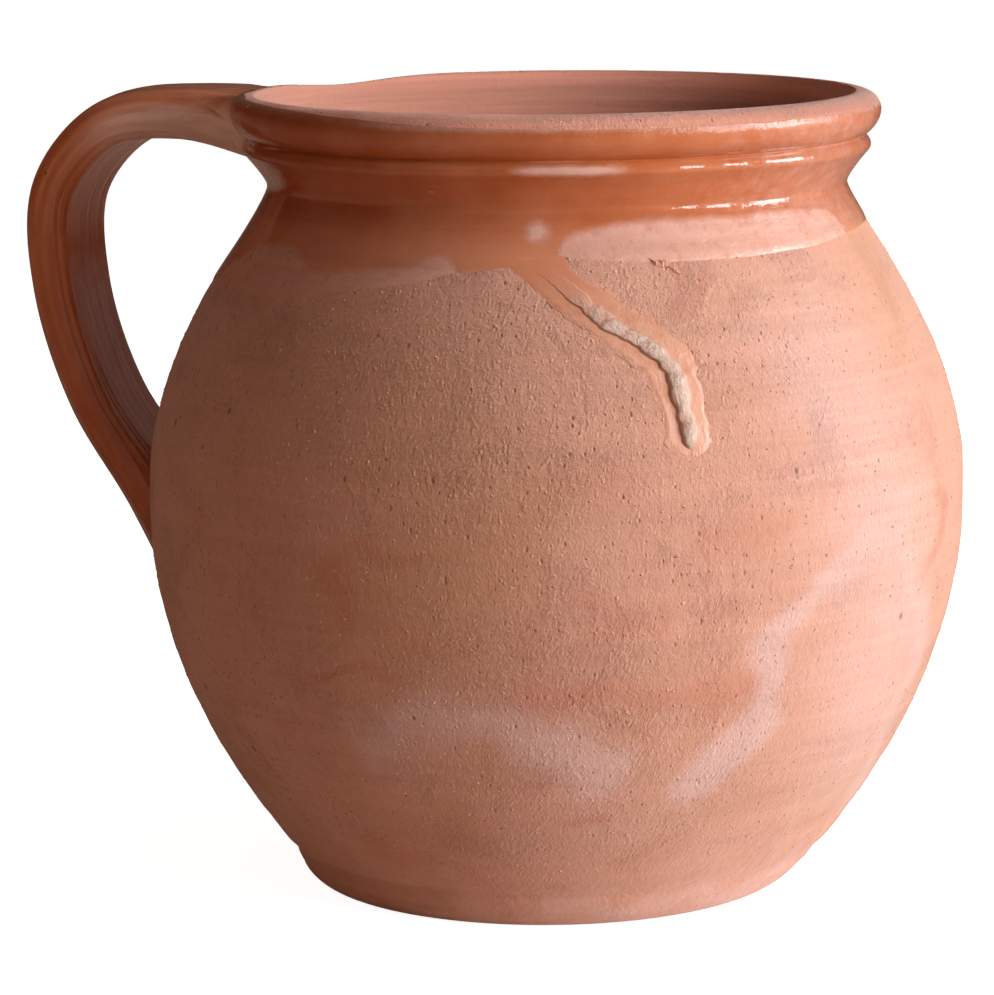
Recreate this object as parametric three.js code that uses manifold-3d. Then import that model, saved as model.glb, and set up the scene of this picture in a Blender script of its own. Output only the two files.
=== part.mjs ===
// A one-handled earthenware cooking pot, thrown on the wheel: a round-bellied body with a rolled rim,
// a pulled strap handle luted to the rim and to the belly, a glaze lining, a dipped glaze collar and
// one run of glaze.
// Millimetres, +Z up. The origin is the middle of the flat foot. The handle stands on the -X side.
import * as THREE from "three";
import { mergeVertices } from "three/addons/utils/BufferGeometryUtils.js";
import Module from "manifold-3d";

const wasm = await Module();
wasm.setup();

// Thrown body, outside: each turning point of the wall as its radius and height
const RIM_HEIGHT = 200;
const BASE_RADIUS = 57.6;
const FOOT_RADIUS = 67;
const FOOT_HEIGHT = 8.2;
const BELLY_RADIUS = 103.3;
const BELLY_HEIGHT = 100;
const SHOULDER_RADIUS = 82.4;
const SHOULDER_HEIGHT = 160;
const NECK_RADIUS = 72.6;
const NECK_HEIGHT = 178;
const RIDGE_RADIUS = 78.4;
const RIDGE_HEIGHT = 186;
const RIDGE_ROUND = 1.4;
const GROOVE_RADIUS = 77;
const GROOVE_HEIGHT = 189.2;
const LIP_RADIUS = 81.3;
const LIP_BOTTOM = 192;
const LIP_THICKNESS = 9;
const LIP_ROUND = 5;

// Thrown body, inside
const WALL = 7.5;
const FLOOR = 9;
const FLOOR_RADIUS = 40;
const HEEL_HEIGHT = 26;

// Strap handle: its middle line in the XZ plane as distance from the axis and height, rim end first
const HANDLE_LINE = [
  { reach: 68, height: 187 },
  { reach: 100, height: 192 },
  { reach: 121.5, height: 189.5 },
  { reach: 136, height: 172.5 },
  { reach: 136, height: 147 },
  { reach: 126, height: 118 },
  { reach: 108.5, height: 93 },
  { reach: 82, height: 52 },
];
const STRAP_WIDTH = 33;
const STRAP_THICKNESS = 13.8;
const STRAP_TAPER = 0.175;
const STRAP_SQUARENESS = 0.72;
const FINGER_GROOVE_DEPTH = 1.1;
const FINGER_GROOVE_WIDTH = 9;
const ROOT_FLARE = { width: 14, thickness: 7, length: 24 };
const TAIL_FLARE = { width: 14, thickness: 6, length: 60 };

// Luting: a pad of soft clay between each end of the handle and the body
const LUTING_THICKNESS = 1.5;
const LUTING_MARGIN = 2;
const ROOT_PAD = { from: 0, to: 0.16 };
const TAIL_PAD = { from: 0.66, to: 1 };

// Glazes: fired coats on the clay
const COAT = 0.5;
const FIT_GAP = 0.15;
const JOINT_GAP = 0.3;
const LINING_TOP = 177;
const COLLAR_TOP = 197.6;
const GLAZE_LINE = { height: 161, rise: 7.5, wave: 0.9, waves: 5 };

// Glaze run: its middle line on the belly as the turn about the axis in degrees and the height, top first
const RUN_LINE = [
  { turn: -71.5, height: 166 },
  { turn: -60, height: 150.7 },
  { turn: -53.6, height: 140.8 },
  { turn: -52, height: 132 },
  { turn: -51.7, height: 122 },
];
const RUN_WIDTH = 13;
const RUN_BEAD_WIDTH = 5.4;
const RUN_BEAD_HEIGHT = 1.5;
const RUN_ROUND_START = 0.8;

// Fineness of the facets
const TURNS = 48;
const STRAP_STEPS = 20;
const PAD_STEPS = 5;
const STRAP_SIDES = 16;
const RUN_STEPS = 14;
const RUN_SIDES = 8;

// Sizes that follow from the ones above
const LIP_MIDDLE = LIP_RADIUS - LIP_THICKNESS / 2;
const LIP_SPRING = RIM_HEIGHT - LIP_ROUND;
const INNER_LIP = LIP_RADIUS - LIP_THICKNESS;
const INNER_NECK = NECK_RADIUS - WALL * 0.9;
const INNER_SHOULDER = SHOULDER_RADIUS - WALL * 1.2;
const INNER_BELLY = BELLY_RADIUS - WALL;
const INNER_HEEL = lowerBellyRadius(HEEL_HEIGHT) - WALL * 1.2;
const PAD_OUTSIDE = JOINT_GAP + LUTING_THICKNESS;
const HANDLE_SEAT = PAD_OUTSIDE + JOINT_GAP;

// The lower belly is a parabola that stands upright at the belly's widest height.
function lowerBellyRadius(height) {
  const down = (BELLY_HEIGHT - height) / (BELLY_HEIGHT - FOOT_HEIGHT);
  return BELLY_RADIUS - (BELLY_RADIUS - FOOT_RADIUS) * down ** 2;
}

// Outline tools

// An outline from a start through bends, each a curve drawn towards a corner, with its end and its facets.
function outline(start, bends) {
  const points = [new THREE.Vector2(...start)];
  for (const { corner, end, facets } of bends) {
    const [towards, to] = [corner, end].map((point) => new THREE.Vector2(...point));
    const bend = new THREE.QuadraticBezierCurve(points.at(-1), towards, to);
    points.push(...bend.getPoints(facets).slice(1));
  }
  return points;
}

// Height at which the slope of a shoulder, carried on, meets the upright line of the neck.
function neckCorner(belly, shoulder, neck) {
  const risePerInset = (SHOULDER_HEIGHT - BELLY_HEIGHT) / 2 / (belly - shoulder);
  return SHOULDER_HEIGHT + (shoulder - neck) * risePerInset;
}

// Moves every point of an outline away from the clay, which lies on the left of its direction.
function offsetOutline(points, distance) {
  return points.map((point, i) => {
    const before = points[Math.max(i - 1, 0)];
    const after = points[Math.min(i + 1, points.length - 1)];
    const along = after.clone().sub(before).normalize();
    return new THREE.Vector2(point.x + along.y * distance, point.y - along.x * distance);
  });
}

// Turns an outline of radius and height about the Z axis.
function revolve(points) {
  return new THREE.LatheGeometry(points, TURNS).rotateX(Math.PI / 2);
}

function onAxis(height) {
  return new THREE.Vector2(0, height);
}

// Solid tools

function solidOf(geometry) {
  const bare = geometry.clone().deleteAttribute("normal").deleteAttribute("uv");
  const merged = mergeVertices(bare, 1e-4);
  const corners = merged.index.array;
  const kept = [];
  for (let i = 0; i < corners.length; i += 3) {
    const [a, b, c] = corners.slice(i, i + 3);
    if (a !== b && b !== c && c !== a) {
      kept.push(a, b, c);
    }
  }
  const vertProperties = Float32Array.from(merged.attributes.position.array);
  return new wasm.Manifold(new wasm.Mesh({ numProp: 3, vertProperties, triVerts: Uint32Array.from(kept) }));
}

function geometryOf(solid) {
  const mesh = solid.getMesh();
  const geometry = new THREE.BufferGeometry();
  geometry.setAttribute("position", new THREE.BufferAttribute(mesh.vertProperties, 3));
  geometry.setIndex(new THREE.BufferAttribute(mesh.triVerts, 1));
  geometry.computeVertexNormals();
  return geometry;
}

function geometryFrom(corners, faces) {
  const geometry = new THREE.BufferGeometry().setFromPoints(corners);
  geometry.setIndex(faces);
  geometry.computeVertexNormals();
  return geometry;
}

// Joins rings of equal length into a skin. Each ring runs anticlockwise as seen from the ring after it.
// A skin that isn't a closed loop of rings gets a fan over its first and its last ring.
function loft(rings, loop = false) {
  const sides = rings[0].length;
  const corners = rings.flat();
  const onRings = corners.length;
  const faces = [];
  const spans = loop ? rings.length : rings.length - 1;
  for (let ring = 0; ring < spans; ring += 1) {
    for (let side = 0; side < sides; side += 1) {
      const here = ring * sides + side;
      const beside = ring * sides + ((side + 1) % sides);
      const next = (here + sides) % onRings;
      const nextBeside = (beside + sides) % onRings;
      faces.push(here, beside, nextBeside, here, nextBeside, next);
    }
  }
  const ends = loop ? [] : [{ start: 0, turned: true }, { start: onRings - sides, turned: false }];
  for (const { start, turned } of ends) {
    const middle = new THREE.Vector3();
    corners.slice(start, start + sides).forEach((corner) => middle.addScaledVector(corner, 1 / sides));
    corners.push(middle);
    for (let side = 0; side < sides; side += 1) {
      const edge = [start + side, start + ((side + 1) % sides)];
      faces.push(...(turned ? edge.reverse() : edge), corners.length - 1);
    }
  }
  return geometryFrom(corners, faces);
}

// Thrown body

function outerOutline() {
  const bellyCorner = [BELLY_RADIUS, (FOOT_HEIGHT + BELLY_HEIGHT) / 2];
  const shoulderCorner = [BELLY_RADIUS, (BELLY_HEIGHT + SHOULDER_HEIGHT) / 2];
  const turnHeight = neckCorner(BELLY_RADIUS, SHOULDER_RADIUS, NECK_RADIUS);
  const ridgeCorner = [RIDGE_RADIUS + RIDGE_ROUND / 2, RIDGE_HEIGHT + RIDGE_ROUND];
  return outline([BASE_RADIUS, 0], [
    { corner: [(BASE_RADIUS + FOOT_RADIUS) / 2, 0], end: [FOOT_RADIUS, FOOT_HEIGHT], facets: 3 },
    { corner: bellyCorner, end: [BELLY_RADIUS, BELLY_HEIGHT], facets: 7 },
    { corner: shoulderCorner, end: [SHOULDER_RADIUS, SHOULDER_HEIGHT], facets: 5 },
    { corner: [NECK_RADIUS, turnHeight], end: [NECK_RADIUS, NECK_HEIGHT], facets: 4 },
    { corner: [NECK_RADIUS, NECK_HEIGHT + 2], end: [RIDGE_RADIUS, RIDGE_HEIGHT], facets: 2 },
    { corner: ridgeCorner, end: [GROOVE_RADIUS, GROOVE_HEIGHT], facets: 2 },
    { corner: [LIP_RADIUS, LIP_BOTTOM], end: [LIP_RADIUS, LIP_SPRING], facets: 3 },
    { corner: [LIP_RADIUS, RIM_HEIGHT], end: [LIP_MIDDLE, RIM_HEIGHT], facets: 4 },
  ]);
}

function innerOutline() {
  const neckMiddle = (LIP_SPRING + NECK_HEIGHT) / 2;
  const turnHeight = neckCorner(INNER_BELLY, INNER_SHOULDER, INNER_NECK);
  const shoulderCorner = [INNER_BELLY, (BELLY_HEIGHT + SHOULDER_HEIGHT) / 2];
  const bellyCorner = [INNER_BELLY, (BELLY_HEIGHT + HEEL_HEIGHT) / 2];
  return outline([LIP_MIDDLE, RIM_HEIGHT], [
    { corner: [INNER_LIP, RIM_HEIGHT], end: [INNER_LIP, LIP_SPRING], facets: 3 },
    { corner: [INNER_NECK, neckMiddle], end: [INNER_NECK, NECK_HEIGHT], facets: 3 },
    { corner: [INNER_NECK, turnHeight], end: [INNER_SHOULDER, SHOULDER_HEIGHT], facets: 3 },
    { corner: shoulderCorner, end: [INNER_BELLY, BELLY_HEIGHT], facets: 4 },
    { corner: bellyCorner, end: [INNER_HEEL, HEEL_HEIGHT], facets: 5 },
    { corner: [(INNER_HEEL + FLOOR_RADIUS) / 2, FLOOR], end: [FLOOR_RADIUS, FLOOR], facets: 3 },
  ]);
}

const OUTER = outerOutline();
const INNER = innerOutline();

function thrownBody() {
  return revolve([onAxis(0), ...OUTER, ...INNER.slice(1), onAxis(FLOOR)]);
}

// The body's outside as a filled solid, grown by a distance.
function grownBody(distance) {
  const skin = offsetOutline(OUTER, distance);
  return solidOf(revolve([onAxis(-distance), ...skin, onAxis(RIM_HEIGHT + distance)]));
}

// The hollow below a height as a filled solid, shrunk by a distance.
function hollow(distance, top) {
  const skin = offsetOutline(INNER, distance).filter((point) => point.y < LINING_TOP);
  const mouth = new THREE.Vector2(INNER_NECK - distance, top);
  return solidOf(revolve([onAxis(FLOOR + distance), ...skin.reverse(), mouth, onAxis(top)]));
}

// Strap handle

const HANDLE_CURVE = new THREE.CatmullRomCurve3(
  HANDLE_LINE.map(({ reach, height }) => new THREE.Vector3(-reach, 0, height)),
  false,
  "centripetal",
);
const HANDLE_LENGTH = HANDLE_CURVE.getLength();

function flare({ width, thickness, length }, distance) {
  const share = Math.exp(-((distance / length) ** 2));
  return { width: width * share, thickness: thickness * share };
}

// Half width and half thickness of the strap at a share of its length: a long taper, flared at both ends.
function strapHalves(share) {
  const taper = 1 - STRAP_TAPER * share;
  const root = flare(ROOT_FLARE, share * HANDLE_LENGTH);
  const tail = flare(TAIL_FLARE, (1 - share) * HANDLE_LENGTH);
  return {
    width: (STRAP_WIDTH * taper + root.width + tail.width) / 2,
    thickness: (STRAP_THICKNESS * taper + root.thickness + tail.thickness) / 2,
  };
}

function squared(value) {
  return Math.sign(value) * Math.abs(value) ** STRAP_SQUARENESS;
}

// The strap's section: a rounded oblong with a shallow groove down the middle of its outer face.
function strapRing(share, margin) {
  const middle = HANDLE_CURVE.getPointAt(share);
  const along = HANDLE_CURVE.getTangentAt(share);
  const across = new THREE.Vector3(0, -1, 0);
  const outward = new THREE.Vector3().crossVectors(along, across);
  const half = strapHalves(share);
  const ring = [];
  for (let side = 0; side < STRAP_SIDES; side += 1) {
    const angle = (side / STRAP_SIDES) * 2 * Math.PI;
    const sideways = (half.width + margin) * squared(Math.cos(angle));
    const groove = FINGER_GROOVE_DEPTH * Math.exp(-((sideways / FINGER_GROOVE_WIDTH) ** 2));
    const depth = Math.sin(angle) > 0 ? groove : 0;
    const out = (half.thickness + margin) * squared(Math.sin(angle)) - depth;
    ring.push(middle.clone().addScaledVector(across, sideways).addScaledVector(outward, out));
  }
  return ring;
}

// The strap between two shares of its length, grown all round by a margin.
function strap(margin, { from, to } = { from: 0, to: 1 }, steps = STRAP_STEPS) {
  const rings = [];
  for (let step = 0; step <= steps; step += 1) {
    rings.push(strapRing(THREE.MathUtils.lerp(from, to, step / steps), margin));
  }
  return solidOf(loft(rings));
}

function strapHandle() {
  return geometryOf(strap(0).subtract(grownBody(HANDLE_SEAT)));
}

function handleGlaze() {
  const coat = strap(FIT_GAP + COAT).subtract(strap(FIT_GAP));
  return geometryOf(coat.subtract(grownBody(HANDLE_SEAT)));
}

function luting(stretch) {
  const pad = strap(LUTING_MARGIN, stretch, PAD_STEPS).intersect(grownBody(PAD_OUTSIDE));
  return geometryOf(pad.subtract(grownBody(JOINT_GAP)));
}

// Glazes on the body

// The lower edge of the dipped glaze: a level line that leans and waves a little as it goes round.
function glazeLine(angle) {
  const lean = GLAZE_LINE.rise * Math.cos(angle);
  const wave = GLAZE_LINE.wave * Math.sin(GLAZE_LINE.waves * angle);
  return GLAZE_LINE.height + lean + wave;
}

// The ring of space between the glaze line, or a drop below it, and the bare top of the rim.
function dippedSpace(drop) {
  const rings = [];
  for (let turn = 0; turn < TURNS; turn += 1) {
    const angle = (turn / TURNS) * -2 * Math.PI;
    const low = glazeLine(angle) - drop;
    const corner = (r, z) => new THREE.Vector3(r * Math.cos(angle), r * Math.sin(angle), z);
    const bottom = [corner(INNER_NECK, low), corner(BELLY_RADIUS, low)];
    const top = [corner(BELLY_RADIUS, COLLAR_TOP), corner(INNER_NECK, COLLAR_TOP)];
    rings.push([...bottom, ...top]);
  }
  return solidOf(loft(rings, true));
}

function collarGlaze() {
  const coat = grownBody(FIT_GAP + COAT).subtract(grownBody(FIT_GAP)).intersect(dippedSpace(0));
  return geometryOf(coat.subtract(strap(LUTING_MARGIN + JOINT_GAP, ROOT_PAD, PAD_STEPS)));
}

function insideGlaze() {
  return geometryOf(hollow(FIT_GAP, LINING_TOP).subtract(hollow(FIT_GAP + COAT, LINING_TOP + COAT)));
}

function wallRadius(height) {
  const above = OUTER.findIndex((point) => point.y >= height);
  const low = OUTER[above - 1];
  const high = OUTER[above];
  return THREE.MathUtils.mapLinear(height, low.y, high.y, low.x, high.x);
}

// A point over the belly: how far round it is in millimetres, how high, and how far out from the clay.
function overBelly(round, height, out) {
  const lean = (wallRadius(height - 1) - wallRadius(height + 1)) / 2;
  const upright = 1 / Math.hypot(1, lean);
  const angle = round / BELLY_RADIUS;
  const reach = wallRadius(height) + out * upright;
  return new THREE.Vector3(reach * Math.cos(angle), reach * Math.sin(angle), height + out * upright * lean);
}

// How high the run stands over the clay at a distance from its middle line: a film with a bead along it.
function runHeight(aside) {
  return FIT_GAP + COAT + RUN_BEAD_HEIGHT * Math.exp(-(((2 * aside) / RUN_BEAD_WIDTH) ** 2));
}

function runRing(line, share) {
  const middle = line.getPointAt(share);
  const along = line.getTangentAt(share);
  const rounding = Math.max(share - RUN_ROUND_START, 0) / (1 - RUN_ROUND_START);
  const half = (RUN_WIDTH / 2) * Math.sqrt(1 - 0.9 * rounding ** 2);
  const top = [];
  const under = [];
  for (let side = 0; side <= RUN_SIDES; side += 1) {
    const aside = THREE.MathUtils.lerp(half, -half, side / RUN_SIDES);
    const round = middle.x - along.y * aside;
    const height = middle.y + along.x * aside;
    top.push(overBelly(round, height, runHeight(aside)));
    under.unshift(overBelly(round, height, FIT_GAP));
  }
  return [...top, ...under];
}

function glazeRun() {
  const onBelly = ({ turn, height }) => {
    return new THREE.Vector2(THREE.MathUtils.degToRad(turn) * BELLY_RADIUS, height);
  };
  const line = new THREE.SplineCurve(RUN_LINE.map(onBelly));
  const rings = [];
  for (let step = 0; step <= RUN_STEPS; step += 1) {
    rings.push(runRing(line, step / RUN_STEPS));
  }
  return geometryOf(solidOf(loft(rings)).subtract(dippedSpace(JOINT_GAP)));
}

// Materials

function clay(color) {
  return new THREE.MeshStandardMaterial({ color, roughness: 0.85, metalness: 0 });
}

function glaze(color) {
  return new THREE.MeshStandardMaterial({ color, roughness: 0.2, metalness: 0 });
}

// The pot

function piece(name, geometry, material) {
  const mesh = new THREE.Mesh(geometry, material);
  mesh.name = name;
  return mesh;
}

const pot = new THREE.Group();
pot.name = "clay_pot";
pot.add(piece("thrown_body", thrownBody(), clay("#c98a61")));
pot.add(piece("strap_handle", strapHandle(), clay("#b5734a")));
pot.add(piece("upper_luting", luting(ROOT_PAD), clay("#a9683f")));
pot.add(piece("lower_luting", luting(TAIL_PAD), clay("#a9683f")));
pot.add(piece("collar_glaze", collarGlaze(), glaze("#b06a35")));
pot.add(piece("handle_glaze", handleGlaze(), glaze("#8c4a24")));
pot.add(piece("inside_glaze", insideGlaze(), glaze("#a8664a")));
pot.add(piece("glaze_run", glazeRun(), glaze("#d9cdbd")));

export default pot;
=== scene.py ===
"""A one-handled earthenware pot, dressed for the camera.

Wheel-thrown red clay with a pulled strap handle luted on, a honey glaze dipped over rim and shoulder,
a glazed inside and one milky run of glaze down the belly. Metres, +Z up, the middle of the foot at the
origin and the handle on the -X side, as in the solids that the pieces stand for.
"""

import logging
import math
from collections.abc import Iterable
from dataclasses import dataclass, field
from enum import Enum
from functools import reduce
from typing import Any

import bmesh
import bpy
import numpy as np
from mathutils import Matrix, Vector


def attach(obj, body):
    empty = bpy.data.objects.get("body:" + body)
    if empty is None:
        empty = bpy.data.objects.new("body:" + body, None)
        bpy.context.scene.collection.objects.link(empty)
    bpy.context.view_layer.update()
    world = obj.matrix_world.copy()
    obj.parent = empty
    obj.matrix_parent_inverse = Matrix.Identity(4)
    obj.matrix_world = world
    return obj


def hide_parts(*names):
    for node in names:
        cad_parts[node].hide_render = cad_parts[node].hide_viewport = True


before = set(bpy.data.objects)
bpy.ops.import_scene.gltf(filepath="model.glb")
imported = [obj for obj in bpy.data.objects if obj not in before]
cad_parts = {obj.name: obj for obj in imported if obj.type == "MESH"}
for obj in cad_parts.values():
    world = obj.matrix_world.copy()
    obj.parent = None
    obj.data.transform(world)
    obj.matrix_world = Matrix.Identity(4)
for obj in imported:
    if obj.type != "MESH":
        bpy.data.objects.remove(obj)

MM = 0.001
BODY = "root"
GLAZE_IOR = 1.52
UPRIGHT = 0.65
RING_DRIFT = 11.0
PATH_STEPS = 60
ROUND_STEPS = 1200
DOUBLED = 0.002 * MM
LOG = logging.getLogger("clay_pot")
SCENE = bpy.context.scene
Socket = bpy.types.NodeSocket
Material = bpy.types.Material
Piece = bpy.types.Object
Array = np.ndarray
Pair = tuple[float, float]
Line = tuple[Pair, ...]
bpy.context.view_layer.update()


class Slot(Enum):
    """Material slots of the part's record."""

    BODY = "body_clay"
    HANDLE = "handle_clay"
    LUTING = "luting_clay"
    COLLAR = "collar_glaze"
    STRAP_COAT = "handle_glaze"
    LINING = "lining_glaze"
    RUN = "run_glaze"


class End(Enum):
    """The two ends of the strap: the root at the rim and the tail on the belly."""

    ROOT = "root"
    TAIL = "tail"


def linear(colour: str) -> tuple[float, float, float, float]:
    """Turns an sRGB hex colour into linear light.

    Args:
        colour: The colour as "#rrggbb".

    Returns:
        Red, green, blue and a full alpha, as Blender's sockets take them.
    """
    shares = [int(colour[i:i + 2], 16) / 255 for i in (1, 3, 5)]
    light = [share / 12.92 if share <= 0.04045 else ((share + 0.055) / 1.055) ** 2.4 for share in shares]
    return light[0], light[1], light[2], 1.0


@dataclass(frozen=True)
class Wiring:
    """Short ways to add nodes to one tree. The output that feeds a value can stand wherever the value can."""

    tree: bpy.types.NodeTree

    def add(self, kind: str, inputs: dict[str | int, Any] | None = None, **settings: Any) -> bpy.types.Node:
        """Adds a node with its settings, its values and its links.

        Args:
            kind: Blender's name for the kind of node.
            inputs: For each input, by name or number, the value it holds or the output that feeds it.
            settings: Properties of the node.

        Returns:
            The new node.
        """
        node = self.tree.nodes.new(kind)
        for name, value in settings.items():
            setattr(node, name, value)
        for name, value in (inputs or {}).items():
            if isinstance(value, Socket):
                self.tree.links.new(value, node.inputs[name])
            else:
                node.inputs[name].default_value = value
        return node

    def maths(self, operation: str, *values: Any, clamp: bool = False) -> Socket:
        """Works out one operation on one to three values."""
        node = self.add("ShaderNodeMath", dict(enumerate(values)), operation=operation, use_clamp=clamp)
        return node.outputs["Value"]

    def times(self, *values: Any) -> Socket:
        """Multiplies two or more values."""
        return reduce(lambda first, second: self.maths("MULTIPLY", first, second), values)

    def ramp(
        self, value: Any, low: float, high: float, least: float = 0, most: float = 1, soft: bool = False
    ) -> Socket:
        """Takes a value from the range low to high to the range least to most, with soft ends or straight."""
        kind = "SMOOTHSTEP" if soft else "LINEAR"
        ends = {"From Min": low, "From Max": high, "To Min": least, "To Max": most}
        node = self.add("ShaderNodeMapRange", {"Value": value, **ends}, interpolation_type=kind)
        return node.outputs["Result"]

    def blend(self, share: Any, first: Any, second: Any) -> Socket:
        """Mixes two colours, each a hex colour or an output, by the share of the second."""
        first, second = (linear(colour) if isinstance(colour, str) else colour for colour in (first, second))
        return self.add("ShaderNodeMix", {0: share, 6: first, 7: second}, data_type="RGBA").outputs[2]

    def tinted(self, colour: Any, layers: Iterable[tuple], soft: bool = False) -> Socket:
        """Lays tints over a colour.

        Args:
            colour: The colour underneath.
            layers: For each tint the value it follows, where that starts and is full, the tint and its most.
            soft: Whether the tints have soft ends.

        Returns:
            The colour on top.
        """
        for value, low, high, tint, most in layers:
            colour = self.blend(self.ramp(value, low, high, 0, most, soft), colour, tint)
        return colour

    def scaled(self, vector: Any, by: Any) -> Socket:
        """Scales a vector or a colour."""
        return self.add("ShaderNodeVectorMath", {0: vector, "Scale": by}, operation="SCALE").outputs["Vector"]

    def stretched(self, where: Socket, *scale: float) -> Socket:
        """Places scaled along the three axes."""
        return self.add("ShaderNodeMapping", {"Vector": where, "Scale": scale}).outputs["Vector"]

    def axes(self, where: Socket) -> list[Socket]:
        """The x, y and z of places."""
        return list(self.add("ShaderNodeSeparateXYZ", {"Vector": where}).outputs)

    def joined(self, x: Any, y: Any, z: Any = 0.0) -> Socket:
        """A vector of three values."""
        return self.add("ShaderNodeCombineXYZ", {"X": x, "Y": y, "Z": z}).outputs["Vector"]

    def mark(self, name: str) -> Socket:
        """A number that was painted on the mesh."""
        return self.add("ShaderNodeAttribute", attribute_name=name).outputs["Fac"]

    def noise(
        self, where: Socket, scale: float, detail: float, rough: float, twist: float = 0.0
    ) -> Socket:
        """Clouds of a scale, a number of finer layers, the strength of those and a twist."""
        look = {"Scale": scale, "Detail": detail, "Roughness": rough, "Distortion": twist}
        return self.add("ShaderNodeTexNoise", {"Vector": where, **look}).outputs["Fac"]

    def spots(
        self, where: Socket, spacing: float, rare: float, sizes: Pair,
        edge: Pair,
    ) -> Socket:
        """Round spots of chance size.

        Args:
            where: Places.
            spacing: About how far apart they could be.
            rare: The share of them that is left out, more or less.
            sizes: The least and the most radius, as shares of the spacing.
            edge: Where a spot starts and is full, as depths inside its radius.

        Returns:
            1 on a spot and 0 off it.
        """
        cells = self.add("ShaderNodeTexVoronoi", {"Vector": where, "Scale": 1 / spacing})
        chance = self.add("ShaderNodeSeparateColor", {"Color": cells.outputs["Color"]}).outputs["Red"]
        depth = self.maths("SUBTRACT", self.ramp(chance, rare, 1, *sizes), cells.outputs["Distance"])
        return self.ramp(depth, *edge, soft=True)

    def finish(
        self, colour: Any, gloss: Any, reliefs: Iterable[tuple[Any, float]], constants: dict[str, Any]
    ) -> None:
        """Feeds the material's shader.

        Args:
            colour: Its colour.
            gloss: Its roughness.
            reliefs: Heights, each with its weight in millimetres.
            constants: The shader's other inputs.
        """
        height = 0.0
        for value, rise in reliefs:
            height = self.maths("MULTIPLY_ADD", value, rise, height)
        bump = self.add("ShaderNodeBump", {"Strength": 1.0, "Distance": MM, "Height": height})
        shader = self.tree.nodes["Principled BSDF"]
        for name, value in (("Base Color", colour), ("Roughness", gloss), ("Normal", bump.outputs["Normal"])):
            self.tree.links.new(value, shader.inputs[name])
        for name, value in constants.items():
            shader.inputs[name].default_value = value


def new_finish(name: str) -> tuple[Material, Wiring, Socket]:
    """Starts a material.

    Args:
        name: Its name.

    Returns:
        The material, its wiring and the place on the piece.
    """
    material = bpy.data.materials.new(name)
    material.use_nodes = True
    wire = Wiring(material.node_tree)
    return material, wire, wire.add("ShaderNodeTexCoord").outputs["Object"]


def eased(low: float, high: float, value: Array) -> Array:
    """Goes smoothly from 0 at low to 1 at high.

    Args:
        low: Where it is 0.
        high: Where it is 1.
        value: The places to work out.

    Returns:
        A share from 0 to 1 for each place.
    """
    share = np.clip((value - low) / (high - low), 0, 1)
    return share * share * (3 - 2 * share)


def hump(off: Array, wide: float) -> Array:
    """A smooth hump: 1 where off is 0, and all but gone at twice its width."""
    return np.exp(-(off / wide) ** 2)


def wrapped(turn: Array, full: float = 2 * math.pi) -> Array:
    """Brings turns to within half a full turn of 0."""
    return (turn + full / 2) % full - full / 2


def wander(angle: Array, seed: int, waves: int = 8) -> Array:
    """The unevenness of a hand-made edge, which closes on itself after a full turn.

    Args:
        angle: Places round the edge, in radians.
        seed: Picks one edge.
        waves: How many waves of falling size are added up.

    Returns:
        About -1 to 1 for each place.
    """
    chance = np.random.default_rng(seed)
    total = np.zeros_like(angle)
    for wave in range(1, waves + 1):
        total = total + np.sin(wave * angle + chance.uniform(0, 2 * math.pi)) * wave ** -0.5
    return total / math.sqrt(waves)


def bend(
    start: Pair, corner: Pair, end: Pair, step: float
) -> Array:
    """One bend of an outline: a curve that leaves its start and reaches its end towards a corner.

    Args:
        start: Radius and height where it starts.
        corner: The point that both ends of the bend aim at.
        end: Radius and height where it ends.
        step: About how far apart its points are.

    Returns:
        The points after the start, as rows of radius and height.
    """
    first, middle, last = (np.array(point) for point in (start, corner, end))
    count = max(2, round((np.linalg.norm(middle - first) + np.linalg.norm(last - middle)) / step))
    share = np.linspace(0, 1, count + 1)[1:, None]
    return first * (1 - share) ** 2 + middle * 2 * share * (1 - share) + last * share ** 2


def bent(start: Pair, bends: tuple[tuple[Pair, Pair, float], ...]) -> Array:
    """An outline of bends, one after another.

    Args:
        start: Radius and height where it starts.
        bends: For each bend its corner, its end and, in mm, about how far apart its points are.

    Returns:
        Rows of radius and height.
    """
    rows = [np.array([start])]
    for corner, end, step in bends:
        rows.append(bend(tuple(rows[-1][-1]), corner, end, step * MM))
    return np.vstack(rows)


def smooth_path(points: Array, count: int) -> Array:
    """A centripetal Catmull-Rom line through points, with its own points evenly spaced.

    Args:
        points: The points it passes through, one to a row.
        count: How many points the line gets.

    Returns:
        The line's points, one to a row.
    """
    ends = np.vstack([2 * points[0] - points[1], points, 2 * points[-1] - points[-2]])
    share = np.linspace(0, 1, PATH_STEPS, endpoint=False)[:, None]
    pieces = []
    for before, start, end, after in zip(ends[:-3], ends[1:-2], ends[2:-1], ends[3:]):
        first, middle, last = (
            math.sqrt(np.linalg.norm(b - a)) for a, b in ((before, start), (start, end), (end, after))
        )
        leave = (start - before) / first - (end - before) / (first + middle) + (end - start) / middle
        reach = (end - start) / middle - (after - start) / (middle + last) + (after - end) / last
        leave, reach = leave * middle, reach * middle
        pieces.append(
            start
            + leave * share
            + (3 * (end - start) - 2 * leave - reach) * share ** 2
            + (2 * (start - end) + leave + reach) * share ** 3
        )
    dense = np.vstack([*pieces, points[-1:]])
    gone = np.concatenate([[0], np.cumsum(np.linalg.norm(np.diff(dense, axis=0), axis=1))])
    even = np.linspace(0, gone[-1], count)
    return np.column_stack([np.interp(even, gone, column) for column in dense.T])


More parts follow.
